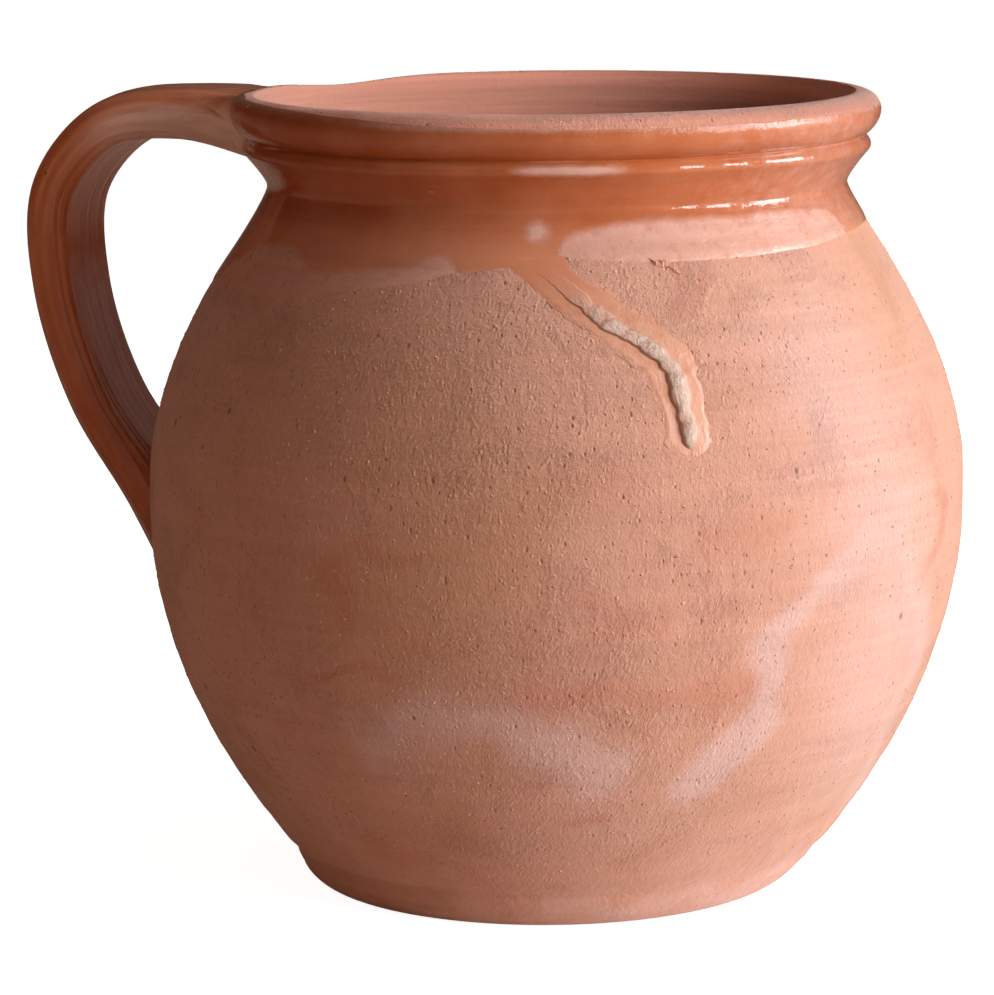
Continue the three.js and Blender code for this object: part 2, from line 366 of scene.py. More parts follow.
def around(points: Line, turn: Array) -> Array:
    """Height of a closed line round the pot.

    Args:
        points: The line's points, as turns from -180 to 180 degrees in rising order and heights in mm.
        turn: Angles about the axis, in radians.

    Returns:
        The height at each angle.
    """
    rows = np.array(points, dtype=float)
    closed = np.vstack([rows[-3:] - (360, 0), rows, rows[:3] + (360, 0)])
    line = smooth_path(closed, ROUND_STEPS)
    return np.interp(wrapped(np.degrees(turn), 360), line[:, 0], line[:, 1]) * MM


def read_points(mesh: bpy.types.Mesh) -> Array:
    """Gives a mesh's points as rows of x, y and z."""
    flat = np.empty(len(mesh.vertices) * 3, dtype=np.float32)
    mesh.vertices.foreach_get("co", flat)
    return flat.reshape(-1, 3).astype(float)


def paint(mesh: bpy.types.Mesh, name: str, values: Array) -> None:
    """Stores a number for each point of a mesh, for its material to read.

    Args:
        mesh: The mesh.
        name: The attribute's name.
        values: One number for each point.
    """
    layer = mesh.attributes.get(name) or mesh.attributes.new(name, "FLOAT", "POINT")
    layer.data.foreach_set("value", np.asarray(values, dtype=np.float32).ravel())


def close_up(mesh: bpy.types.Mesh) -> None:
    """Merges doubled points, turns all faces outwards and shades them smooth."""
    work = bmesh.new()
    work.from_mesh(mesh)
    bmesh.ops.remove_doubles(work, verts=work.verts, dist=DOUBLED)
    bmesh.ops.recalc_face_normals(work, faces=work.faces)
    for face in work.faces:
        face.smooth = True
    work.to_mesh(mesh)
    work.free()
    mesh.update()


def skin(name: str, rings: Array, loop: bool = False, marks: dict[str, Array] | None = None) -> Piece:
    """Joins closed rings of points into one closed piece.

    Args:
        name: The piece's name.
        rings: Rings of points, as an array of ring, place on the ring and x, y, z.
        loop: Whether the last ring joins the first. Otherwise both end rings are closed over.
        marks: Numbers for each point of the rings, stored under their names.

    Returns:
        The piece, linked into the scene.
    """
    marks = marks or {}
    if not loop:
        rings = np.concatenate([np.broadcast_to(rings[:1].mean(1, keepdims=True), rings[:1].shape), rings,
                                np.broadcast_to(rings[-1:].mean(1, keepdims=True), rings[-1:].shape)])
        marks = {key: np.concatenate([value[:1], value, value[-1:]]) for key, value in marks.items()}
    count, sides = rings.shape[:2]
    number = np.arange(count * sides).reshape(count, sides)
    beyond = np.roll(number, -1, axis=0)
    if not loop:
        number, beyond = number[:-1], beyond[:-1]
    faces = np.stack([number, np.roll(number, -1, 1), np.roll(beyond, -1, 1), beyond], axis=-1).reshape(-1, 4)
    mesh = bpy.data.meshes.new(name)
    mesh.from_pydata(rings.reshape(-1, 3).tolist(), [], faces.tolist())
    for key, value in marks.items():
        paint(mesh, key, value)
    close_up(mesh)
    piece = bpy.data.objects.new(name, mesh)
    SCENE.collection.objects.link(piece)
    return piece


def grow(name: str, start: bpy.types.Mesh, tree: bpy.types.NodeTree, values: dict[str, Any]) -> Piece:
    """Runs a Geometry Nodes tree on a mesh and keeps what comes out as a plain mesh.

    Args:
        name: The new piece's name.
        start: The mesh that goes into the tree.
        tree: The tree.
        values: The tree's inputs by their names.

    Returns:
        The piece, linked into the scene, with no modifier left on it.
    """
    piece = bpy.data.objects.new(name, start)
    SCENE.collection.objects.link(piece)
    modifier = piece.modifiers.new("growing", "NODES")
    modifier.node_group = tree
    for item in tree.interface.items_tree:
        if item.in_out == "INPUT" and item.name in values:
            modifier[item.identifier] = values[item.name]
    evaluated = piece.evaluated_get(bpy.context.evaluated_depsgraph_get())
    grown = bpy.data.meshes.new_from_object(evaluated)
    piece.modifiers.clear()
    piece.data = grown
    return piece


def new_tree(name: str, sockets: dict[str, str]) -> tuple[Wiring, dict[str, Socket], bpy.types.Node]:
    """Starts a Geometry Nodes tree.

    Args:
        name: The tree's name.
        sockets: Its inputs after the geometry, each with its kind of socket.

    Returns:
        The tree's wiring, its inputs by name and the node with its output.
    """
    tree = bpy.data.node_groups.new(name, "GeometryNodeTree")
    tree.interface.new_socket("Geometry", in_out="INPUT", socket_type="NodeSocketGeometry")
    for label, kind in sockets.items():
        tree.interface.new_socket(label, in_out="INPUT", socket_type="NodeSocket" + kind)
    tree.interface.new_socket("Geometry", in_out="OUTPUT", socket_type="NodeSocketGeometry")
    wire = Wiring(tree)
    given = wire.add("NodeGroupInput").outputs
    return wire, {label: given[label] for label in ("Geometry", *sockets)}, wire.add("NodeGroupOutput")


def hand_in(piece: Piece, material: Material, node: str | None) -> None:
    """Dresses a piece, hangs it under the body and hides the solid that it replaces.

    Args:
        piece: The finished piece.
        material: Its material.
        node: The solid that it replaces, if any.
    """
    piece.data.materials.clear()
    piece.data.materials.append(material)
    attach(piece, BODY)
    if node:
        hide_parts(node)
    LOG.info("%s: %d faces", piece.name, len(piece.data.polygons))


@dataclass(frozen=True)
class PottersHand:
    """How the pot strays from true: its middle line wanders as it rises, and it isn't quite round."""

    sideways: float = math.radians(20.2)
    middle_line: Line = (
        (0, -2.4), (4, -1.8), (9, -0.6), (14, -0.4), (22, -0.4), (45, -0.35), (70, -0.35), (100, 0.0),
        (130, 0.3),
        (148, 0.35), (165, 0.85), (180, 0.7), (200, 0.3),
    )
    line_points: int = 200
    oval: float = 0.12 * MM
    oval_turn: float = 1.1
    oval_from: float = 40 * MM
    least_reach: float = 1e-6
    widest: float = 102.95 * MM
    soften: float = 0.15 * MM
    strap_free: Pair = (94 * MM, 122 * MM)
    strap_reach: float = 142.9 * MM
    strap_top: float = 199.75 * MM
    rim_dip: float = 1.5 * MM
    dip_rise: Pair = (165 * MM, 196 * MM)
    dip_end: Pair = (82 * MM, 90 * MM)
    dip_turn: float = math.radians(157)
    dip_wide: float = math.radians(14)

    def shape(self, points: Array, strap: bool) -> Array:
        """Moves points of the true pot to where the hand put them, all but the free part of the strap.

        Args:
            points: Rows of x, y and z.
            strap: Whether they are on the strap or its seams.

        Returns:
            The moved points.
        """
        x, y, z = points.T
        reach = np.maximum(np.hypot(x, y), self.least_reach)
        turn = np.arctan2(y, x)
        line = smooth_path(np.array(self.middle_line) * MM, self.line_points)
        shift = np.interp(z, line[:, 0], line[:, 1]) * (1 - eased(*self.strap_free, reach))
        squeeze = self.oval * np.cos(2 * turn + self.oval_turn) * np.clip(reach / self.oval_from, 0, 1)
        off = wrapped(turn - self.dip_turn)
        sink = self.rim_dip * hump(off, self.dip_wide) * eased(*self.dip_rise, z)
        sink = sink * (1 - eased(*self.dip_end, reach))
        back = 0.0
        if strap:
            back = self.soften * np.logaddexp(0, (-x - self.strap_reach) / self.soften)
            sink = sink + self.soften * np.logaddexp(0, (z - self.strap_top) / self.soften)
        else:
            squeeze = squeeze + self.soften * np.logaddexp(0, (reach - self.widest) / self.soften)
        true = 1 - squeeze / reach
        return np.column_stack([
            x * true + shift * math.cos(self.sideways) + back,
            y * true + shift * math.sin(self.sideways),
            z - sink,
        ])

    def press(self, piece: Piece, strap: bool = False) -> None:
        """Moves all points of a piece.

        Args:
            piece: The piece.
            strap: Whether it is the strap or belongs to it.
        """
        moved = self.shape(read_points(piece.data), strap)
        piece.data.vertices.foreach_set("co", moved.astype(np.float32).ravel())
        piece.data.update()


@dataclass(frozen=True)
class FiredEarthenware:
    """Coarse red earthenware, sponged on the wheel and fired bare.

    The eye gets a dry skin with no gloss: sandy pores that stand open where the wall was stretched,
    level lines from the turning, ochre and ruddy clouds from the kiln, redder smears of slip and a pale bloom
    of salts. The bloom marks also hold a broad pale patch on the side towards the key, which is painted
    light, the earth marks an ochre patch on the shaded front left, which is painted shade, and painted shade
    darkens the inside on the right and the top of the rim at the front right.
    """

    name: str = "fired_red_earthenware"
    clay: str = "#cf977f"
    ochre: str = "#bf8663"
    ruddy: str = "#c27f69"
    smear: str = "#c07256"
    bloom_and_painted_light: str = "#dab6ae"
    pit: str = "#7c4a38"
    grain: str = "#e2b8a2"
    rim: str = "#de9880"
    # The colour of the painted shade on the inside and the top of the rim.
    painted_shade: str = "#7a3322"
    roughness: float = 0.86
    sheen: float = 0.4
    sheen_tint: str = "#ffe8de"
    cloud_size: float = 60 * MM
    blotch_size: float = 21 * MM
    line_size: float = 3.2 * MM
    lump_size: float = 2.0 * MM
    grain_size: float = 0.58 * MM
    pore_spacing: float = 1.7 * MM
    pit_spacing: float = 7.5 * MM
    grit_spacing: float = 1.1 * MM
    flake: Pair = (1.05 * MM, 1.9 * MM)
    flake_lean: float = math.radians(24)
    girth: float = 100 * MM

    def material(self) -> Material:
        """Builds the material.

        Returns:
            Clay that reads the marks painted on its mesh: bloom, which also holds painted light, smear,
            earth, which also holds painted shade, sand, rim and the painted shade of the inside and the rim.
        """
        material, wire, place = new_finish(self.name)
        bloom_and_painted_light, smear, earth_and_painted_shade, sand, rim, painted_shade = (
            wire.mark(name) for name in ("bloom_and_painted_light", "smear", "earth_and_painted_shade", "sand", "rim", "painted_shade")
        )
        upright = wire.stretched(place, 1, 1, UPRIGHT)
        level = wire.stretched(place, 9, 9, 1 / self.line_size)
        cloud, blotch, lines, lumps, grain = (
            wire.noise(where, scale, detail, 0.66, twist) for where, scale, detail, twist in (
                (place, 1 / self.cloud_size, 4, 0.6), (place, 1 / self.blotch_size, 4, 0.9),
                (level, 1.0, 5, 0.0),
                (upright, 1 / self.lump_size, 5, 0.0), (upright, 1 / self.grain_size, 3, 0.0),
            )
        )
        x, y, z = wire.axes(place)
        wall = wire.joined(wire.times(wire.maths("ARCTAN2", y, x), self.girth), z)
        leaning = wire.add("ShaderNodeVectorRotate", {
            "Vector": wall, "Angle": self.flake_lean,
        }, rotation_type="Z_AXIS")
        leaning = wire.stretched(leaning.outputs["Vector"], 1 / self.flake[0], 1 / self.flake[1], 1)
        patchy = wire.ramp(blotch, 0.46, 0.62, 0.1, 1, soft=True)
        torn = wire.noise(leaning, 1.0, 4, 0.7, 0.3)
        flakes = wire.times(wire.ramp(torn, 0.48, 0.6, soft=True), patchy, sand)
        pores, pits, grit = (
            wire.spots(upright, spacing, rare, (-0.05, widest), (-0.25 * widest, 0.5 * widest))
            for spacing, rare, widest in (
                (self.pore_spacing, 0.55, 0.27), (self.pit_spacing, 0.6, 0.11),
                (self.grit_spacing, 0.3, 0.42),
            )
        )
        open_pores, loud = wire.times(pores, sand), wire.times(grit, sand)
        loose = wire.maths("MULTIPLY_ADD", wire.maths("SUBTRACT", grain, 0.5), sand, 0.5)
        wiped = wire.maths("MULTIPLY_ADD", patchy, 0.3, wire.ramp(sand, 0, 1, 0.3, 0.8))
        coarse = wire.times(lumps, wiped)

        colour = wire.tinted(self.clay, (
            (cloud, 0.5, 0.72, self.ochre, 0.7),
            (blotch, 0.52, 0.72, self.ruddy, 0.6),
            (lumps, 0.5, 0.3, self.ochre, 0.35),
        ), soft=True)
        ragged = wire.maths("ADD", wire.maths("ADD", lines, blotch), grain)
        # The earth tint also stands for painted shade on the shaded front left, and the bloom tint for
        # painted light on the side towards the key.
        colour = wire.tinted(colour, [
            (wire.times(mark, ragged), 0.3, 1.5, tint, most)
            for mark, tint, most in (
                (earth_and_painted_shade, self.ochre, 0.72), (smear, self.smear, 0.55), (bloom_and_painted_light, self.bloom_and_painted_light, 0.6),
            )
        ], soft=True)
        # Painted shade darkens the inside towards the right and the top of the rim at the front right.
        colour = wire.blend(painted_shade, wire.blend(rim, colour, self.rim), self.painted_shade)
        swing = wire.ramp(rim, 0, 1, 0.06, 0.16)
        band = wire.maths("MULTIPLY_ADD", wire.ramp(lines, 0.3, 0.7, -1, 1), swing, 1.0)
        colour = wire.scaled(colour, band)
        colour = wire.tinted(colour, (
            (loose, 0.56, 0.72, self.grain, 0.5),
            (loose, 0.42, 0.26, self.pit, 0.4),
            (open_pores, 0.2, 1.0, self.pit, 0.6),
            (flakes, 0.0, 1.0, self.grain, 0.16),
            (loud, 0.2, 1.0, self.grain, 0.22),
            (pits, 0.2, 1.0, self.pit, 0.75),
        ))
        dry = wire.ramp(cloud, 0.3, 0.7, self.roughness - 0.06, self.roughness + 0.06)
        wire.finish(colour, dry, (
            (loose, 0.34), (loud, 0.17), (coarse, 0.6), (flakes, 0.18), (lines, 0.08), (open_pores, -0.4),
            (pits, -0.4),
        ), {
            "Specular IOR Level": 0.3, "Diffuse Roughness": 0.4, "Sheen Weight": self.sheen,
            "Sheen Roughness": 0.5, "Sheen Tint": linear(self.sheen_tint),
        })
        return material


@dataclass(frozen=True)
class HoneyGlaze:
    """Clear honey glaze, dipped thin over red clay and fired glossy.

    The eye gets a wet orange-brown that deepens where the glaze pooled, highlights broken by the swell of
    the coat, dark pinholes, pale chips, a bubbled band along the lip and a milky veil where it ran thin.
    On the strap the deepening towards the tail is painted shade; on the collar the veil also holds painted
    light: a reflection spot, a highlight on the ridge and a paler side towards the key.
    """

    name: str
    coat: str = "#c87e5b"
    pooled_and_painted_shade: str = "#a95830"
    veil_and_painted_light: str = "#cd9e8e"
    speck: str = "#4a2416"
    chip: str = "#d9b5a4"
    roughness: float = 0.08
    veil_roughness: float = 0.5
    mottle_size: float = 15 * MM
    swell_size: float = 10 * MM
    ripple_size: float = 2.4 * MM
    bubble_size: float = 0.9 * MM
    speck_spacing: float = 9 * MM
    chip_spacing: float = 11 * MM
    veil_patch: float = 3.4 * MM
    line_size: float = 3.6 * MM
    swell: float = 0.2
    ripple: float = 0.07
    bubble: float = 0.2
    streaks: bool = False

    def material(self) -> Material:
        """Builds the material.

        Returns:
            Glaze that reads the marks veil, pooled and rough, and on a strap along and depth, off its mesh.
            The veil also holds painted light on the collar, and the pooling painted shade on the strap.
        """
        material, wire, place = new_finish(self.name)
        veil_and_painted_light, pooled_and_painted_shade, rough, along, depth = (
            wire.mark(name) for name in ("veil_and_painted_light", "pooled_and_painted_shade", "rough", "along", "depth")
        )
        level = wire.stretched(place, 1, 1, 2.2)
        pulled = wire.joined(wire.axes(place)[1], depth, wire.times(along, 0.03)) if self.streaks else level
        mottle, swell, ripple, bubble = (
            wire.noise(where, 1 / size, detail, 0.55) for where, size, detail in (
                (place, self.mottle_size, 4), (level, self.swell_size, 2), (pulled, self.ripple_size, 3),
                (place, self.bubble_size, 2),
            )
        )
        flat = wire.stretched(place, 0.55, 0.55, 1.6)
        specks, chips = (
            wire.spots(where, spacing, rare, (-0.03, widest), (-0.02, 0.03))
            for where, spacing, rare, widest in (
                (place, self.speck_spacing, 0.6, 0.06), (flat, self.chip_spacing, 0.62, 0.075),
            )
        )
        lines = wire.noise(wire.stretched(place, 7, 7, 1 / self.line_size), 1.0, 4, 0.62)
        patch = wire.noise(place, 1 / self.veil_patch, 4, 0.62)
        ragged, banded = (ripple, ripple) if self.streaks else (patch, lines)

        # The pooling mark also holds painted shade towards the strap's tail.
        deeper = wire.maths("ADD", wire.ramp(mottle, 0.3, 0.7, -0.22, 0.22), pooled_and_painted_shade, clamp=True)
        # The veil mark also holds painted light on the collar: a reflection spot, a ridge highlight and a
        # paler side towards the key.
        milky = wire.ramp(wire.maths("MULTIPLY_ADD", ragged, 0.5, veil_and_painted_light), 0.4, 1.1, 0, 0.9, soft=True)
        colour = wire.blend(milky, wire.blend(deeper, self.coat, self.pooled_and_painted_shade), self.veil_and_painted_light)
        for spot, tint, most in ((specks, self.speck, 0.5), (chips, self.chip, 0.6)):
            colour = wire.blend(wire.times(spot, most), colour, tint)
        colour = wire.scaled(colour, wire.ramp(banded, 0.28, 0.72, 0.88, 1.1))
        thin = wire.maths("MULTIPLY_ADD", milky, 0.0 if self.streaks else 0.8, rough)
        wire.finish(colour, wire.ramp(milky, 0.35, 1, self.roughness, self.veil_roughness), (
            (swell, self.swell), (ripple, self.ripple), (wire.times(bubble, thin), self.bubble),
            (specks, -0.15),
            (chips, -0.15), (lines, 0.0 if self.streaks else 0.1),
        ), {"IOR": GLAZE_IOR})
        return material


@dataclass(frozen=True)
class MilkyGlaze:
    """A run of thick glaze that turned milky as it cooled, between edges that stayed clear.

    The eye gets a pale, finely curdled bead on an orange film so thin that the clay's grain shows through.
    """

    name: str = "milky_glaze_run"
    head: str = "#c87e5b"
    film: str = "#cf9377"
    stain: str = "#bd7b5b"
    curd: str = "#c4b2a6"
    roughness: float = 0.36
    curd_roughness: float = 0.26
    curd_size: float = 0.8 * MM
    stain_size: float = 5 * MM
    lump_size: float = 2.0 * MM
    grain_size: float = 0.58 * MM

    def material(self) -> Material:
        """Builds the material.

        Returns:
            Glaze that goes from head to film by the mark flow on its mesh, and on to curd by the mark milk.
        """
        material, wire, place = new_finish(self.name)
        milk, flow = wire.mark("milk"), wire.mark("flow")
        upright = wire.stretched(place, 1, 1, UPRIGHT)
        curd, stain, lumps, grain = (
            wire.noise(where, 1 / size, detail, 0.66) for where, size, detail in (
                (place, self.curd_size, 3), (place, self.stain_size, 4), (upright, self.lump_size, 5),
                (upright, self.grain_size, 3),
            )
        )
        share = wire.maths("MULTIPLY", milk, wire.ramp(curd, 0.3, 0.7, 0.25, 1.1), clamp=True)
        share = wire.times(share, wire.ramp(lumps, 0.36, 0.54, 0.3, 1))
        film = wire.blend(wire.ramp(stain, 0.42, 0.68, 0, 0.7, soft=True), self.film, self.stain)
        colour = wire.blend(share, wire.blend(flow, self.head, film), self.curd)
        bare = wire.maths("SUBTRACT", flow, milk)
        wire.finish(colour, wire.ramp(share, 0, 1, self.roughness, self.curd_roughness), [
            (wire.times(value, over), rise) for value, over, rise in (
                (curd, milk, 0.3), (lumps, milk, 0.9), (lumps, bare, 0.3), (grain, bare, 0.14),
            )
        ], {"IOR": GLAZE_IOR})
        return material


@dataclass(frozen=True)
class Wave:
    """A wave in a mark's edge: size and length up the wall in mm, count round the pot, and start."""

    size: float
    length: float
    laps: int
    start: float = 0.0

    def at(self, turn: Array, high: Array) -> Array:
        """How far it moves the edge at each angle, in radians, and height, in mm."""
        return self.size * np.sin(high / self.length + self.laps * turn + self.start)


@dataclass(frozen=True)
class Trail:
    """A mark on the belly: its line, as turns in degrees and heights, its half width and its strength."""

    line: Line
    half: float
    strength: float


@dataclass
class ThrownBody:
    """The body, thrown in one go: foot, belly, shoulder, neck, ridge and rolled lip."""

    rim_height: float = 200 * MM
    base_radius: float = 57.2 * MM
    foot_grooves: tuple[tuple[float, float, float], ...] = (
        (0.75 * MM, 9.9 * MM, 1.4 * MM), (0.3 * MM, 5.2 * MM, 0.8 * MM), (0.2 * MM, 19 * MM, 1.2 * MM),
    )
    foot: Pair = (66.7 * MM, 8.2 * MM)
    belly: Pair = (103.3 * MM, 100 * MM)
    belly_below: float = 52.2 * MM
    belly_above: float = 128.4 * MM
    shoulder: Pair = (82.4 * MM, 160 * MM)
    neck: Pair = (72.5 * MM, 177.3 * MM)
    neck_rise: float = 2 * MM
    ridge: Pair = (78.4 * MM, 186 * MM)
    ridge_round: float = 1.4 * MM
    groove: Pair = (77 * MM, 189.2 * MM)
    lip_radius: float = 81.3 * MM
    lip_bottom: float = 192 * MM
    lip_thickness: float = 9 * MM
    lip_round: float = 4.2 * MM
    lip_crest: float = 5.8 * MM
    lip_slope: float = 5.5 * MM
    wall: float = 7.5 * MM
    thin_wall: float = 0.9
    thick_wall: float = 1.2
    floor: float = 9 * MM
    floor_radius: float = 40 * MM
    heel_height: float = 26 * MM
    lining_top: float = 177 * MM
    lining: float = 0.5 * MM
    lining_lip: float = 0.6
    lining_pooled: Pair = (0.9, 0.5)
    lining_fade: Pair = (20 * MM, 170 * MM)
    turns: int = 310
    base_rows: int = 9
    floor_rows: int = 5
    weld: float = 0.01 * MM
    ring_depth: float = 0.16 * MM
    ring_spacing: float = 6.5 * MM
    rings_from: Pair = (3 * MM, 12 * MM)
    rings_to: Pair = (180 * MM, 194 * MM)
    sandy_below: float = 0.72
    sandy_from: Pair = (95 * MM, 140 * MM)
    sandy_foot: Pair = (5 * MM, 28 * MM)
    sponged: float = 0.5
    sponged_turn: float = math.radians(-8)
    sponged_wide: float = math.radians(34)
    bare_rim: Pair = (194 * MM, 196.5 * MM)
    # Painted shade on the top of the rim towards the front right.
    rim_shade: float = 0.4
    rim_shaded: Pair = (195 * MM, 198 * MM)
    rim_turn: float = math.radians(-2)
    rim_wide: float = math.radians(44)
    # Painted shade on the inside towards the right, away from the key.
    inner_shade_most: float = 0.85
    inner_shade_end: Pair = (191 * MM, 198 * MM)
    inner_shade_turn: float = math.radians(45)
    inner_shade_wide: float = math.radians(48)
    scrap: Line = (
        (-54.2, 166.2), (-52.8, 164.6), (-51.2, 164.5), (-49.6, 163), (-49, 162),
    )
    scrap_half: float = 0.75 * MM
    scrap_taper: float = 0.6
    scrap_torn: float = 0.35
    scrap_lift: float = 0.2 * MM
    scrap_sand: float = 0.6
    scrap_bloom: float = 0.3
    scrap_rows: int = 60
    scrap_sides: int = 16
    grains: float = 70_000.0
    grain_seed: int = 7
    grain_sand: float = 0.6
    grain_end: Pair = (160 * MM, 172 * MM)
    grain_radius: float = 0.48 * MM
    grain_sizes: tuple[tuple[float, float, float], ...] = ((0.45, 0.4, 0.15), (1.25, 1.0, 0.36))
    mark_core: float = 0.62
    mark_haze: float = 2.1
    mark_drift: tuple[Wave, ...] = (Wave(2.4, 5.3, 9), Wave(1.8, 2.9, -17, 1.3))
    mark_lift: tuple[Wave, ...] = (Wave(1.9, 11, 13, 0.6), Wave(1.3, -4.7, 29))
    blooms_and_painted_light: tuple[Trail, ...] = (
        Trail((
            (-19, 96), (-26, 94.5), (-33, 92), (-36, 84), (-38.5, 72), (-39.5, 58), (-45, 45), (-51, 37),
        ), 5.5, 0.95),
        Trail(((-16, 98), (-24, 95), (-29, 91)), 9, 0.85),
        Trail(((-70, 5.5), (-40, 5.5), (-10, 5.5)), 4, 0.6),
        Trail(((-14, 90), (-11, 81), (-5, 68), (-6, 52), (-4, 30)), 9, 0.8),
        # A broad pale patch on the side towards the key: painted light. The other blooms are bloom of salts.
        Trail(((-26, 138), (-20, 100), (-16, 50)), 27, 0.7),
        Trail(((-98, 51), (-92, 55), (-82, 60), (-74, 57), (-63, 46)), 7.5, 0.85),
        Trail(((35, 60), (58, 76), (84, 70)), 9, 0.8),
        Trail(((138, 106), (162, 95), (182, 80)), 10, 0.7),
    )
    earths_and_painted_shade: tuple[Trail, ...] = (
        # An ochre patch on the shaded front left: painted shade. The other two earths are the clay's own
        # tone.
        Trail(((-100, 142), (-84, 116), (-90, 84)), 30, 0.9),
        Trail(((70, 120), (92, 96)), 26, 0.7),
        Trail(((-172, 70), (-150, 50)), 22, 0.6),
    )
    smears: tuple[Trail, ...] = (
        Trail(((-73, 66), (-64, 64), (-52, 65), (-43, 67.5)), 5, 0.75),
        Trail(((-99, 93), (-98, 83)), 5, 0.9),
        Trail(((-2.5, 103), (-6, 91)), 4, 1.0),
        Trail(((-139, 111), (-128, 104), (-131, 90)), 7, 0.6),
        Trail(((-106, 20), (-95, 18)), 5, 0.7),
        Trail(((-97, 101), (-90, 100)), 2, 0.8),
        Trail(((-94, 80), (-84, 78)), 4, 0.5),
        Trail(((-72, 118), (-60, 116)), 7, 0.5),
        Trail(((-50, 99), (-38, 107)), 6, 0.6),
        Trail(((-57, 19), (-48, 22)), 5, 0.5),
        Trail(((-66, 33), (-62, 33.5)), 1.2, 1.0),
        Trail(((-105, 70), (-93, 68)), 1.4, 0.9),
        Trail(((-96, 30), (-84, 28)), 8, 0.55),
        Trail(((-64, 88), (-55, 84)), 6, 0.6),
        Trail(((20, 112), (44, 108), (66, 116)), 6, 0.8),
        Trail(((100, 58), (128, 62)), 6, 0.9),
        Trail(((-176, 96), (-160, 88)), 7, 0.7),
    )

    def neck_corner(self, belly: float, shoulder: float, neck: float) -> float:
        """Height at which the slope of a shoulder, carried on, meets the upright line of the neck.

        Args:
            belly: The belly's radius.
            shoulder: The shoulder's radius.
            neck: The neck's radius.

        Returns:
            The height of that corner.
        """
        rise = (self.shoulder[1] - self.belly_above) / (belly - shoulder)
        return self.shoulder[1] + (shoulder - neck) * rise

    def outside(self) -> Array:
        """The outer wall from the edge of the flat base up to the crest of the lip.

        Returns:
            Rows of radius and height.
        """
        spring = self.rim_height - self.lip_round
        crest = (self.lip_radius - self.lip_crest, self.rim_height)
        turn = self.neck_corner(self.belly[0], self.shoulder[0], self.neck[0])
        bends = (
            (((self.base_radius + self.foot[0]) / 2, 0.0), self.foot, 1.0),
            ((self.belly[0], self.belly_below), self.belly, 1.7),
            ((self.belly[0], self.belly_above), self.shoulder, 1.5),
            ((self.neck[0], turn), self.neck, 1.0),
            ((self.neck[0], self.neck[1] + self.neck_rise), self.ridge, 0.7),
            ((self.ridge[0] + self.ridge_round / 2, self.ridge[1] + self.ridge_round), self.groove, 0.45),
            ((self.lip_radius, self.lip_bottom), (self.lip_radius, spring), 0.6),
            ((self.lip_radius, self.rim_height), crest, 0.6),
        )
        outline = bent((self.base_radius, 0.0), bends)
        for depth, height, wide in self.foot_grooves:
            outline[:, 0] -= depth * hump(outline[:, 1] - height, wide)
        return outline

    def inside(self) -> Array:
        """The inner wall from the crest of the lip down to the edge of the flat floor.

        Returns:
            Rows of radius and height.
        """
        spring = self.rim_height - self.lip_slope
        lip = self.lip_radius - self.lip_thickness
        neck = self.neck[0] - self.wall * self.thin_wall
        shoulder = self.shoulder[0] - self.wall * self.thick_wall
        belly = self.belly[0] - self.wall
        heel = float(self.radius_at(np.array([self.heel_height]))[0]) - self.wall * self.thick_wall
        bends = (
            ((lip + self.lip_thickness / 4, self.rim_height), (lip, spring), 0.7),
            ((neck, (spring + self.neck[1]) / 2), (neck, self.neck[1]), 1.2),
            ((neck, self.neck_corner(belly, shoulder, neck)), (shoulder, self.shoulder[1]), 2.2),
            ((belly, self.belly_above), (belly, self.belly[1]), 3.2),
            ((belly, (self.belly[1] + self.heel_height) / 2), (heel, self.heel_height), 3.6),
            (((heel + self.floor_radius) / 2, self.floor), (self.floor_radius, self.floor), 4.0),
        )
        return bent((self.lip_radius - self.lip_crest, self.rim_height), bends)

    def radius_at(self, height: Array) -> Array:
        """Outer radius of the body at each height."""
        outline = self.outside()
        return np.interp(height, outline[:, 1], outline[:, 0])

    def over(self, turn: Array, height: Array, out: Array) -> Array:
        """Points over the outer wall.

        Args:
            turn: Angles about the axis, in radians.
            height: Heights on the wall.
            out: How far the points stand off the wall.

        Returns:
            The points, with x, y and z in the last axis.
        """
        slope = (self.radius_at(height - MM) - self.radius_at(height + MM)) / (2 * MM)
        square = out / np.hypot(1, slope)
        reach = self.radius_at(height) + square
        return np.stack([reach * np.cos(turn), reach * np.sin(turn), height + square * slope], axis=-1)

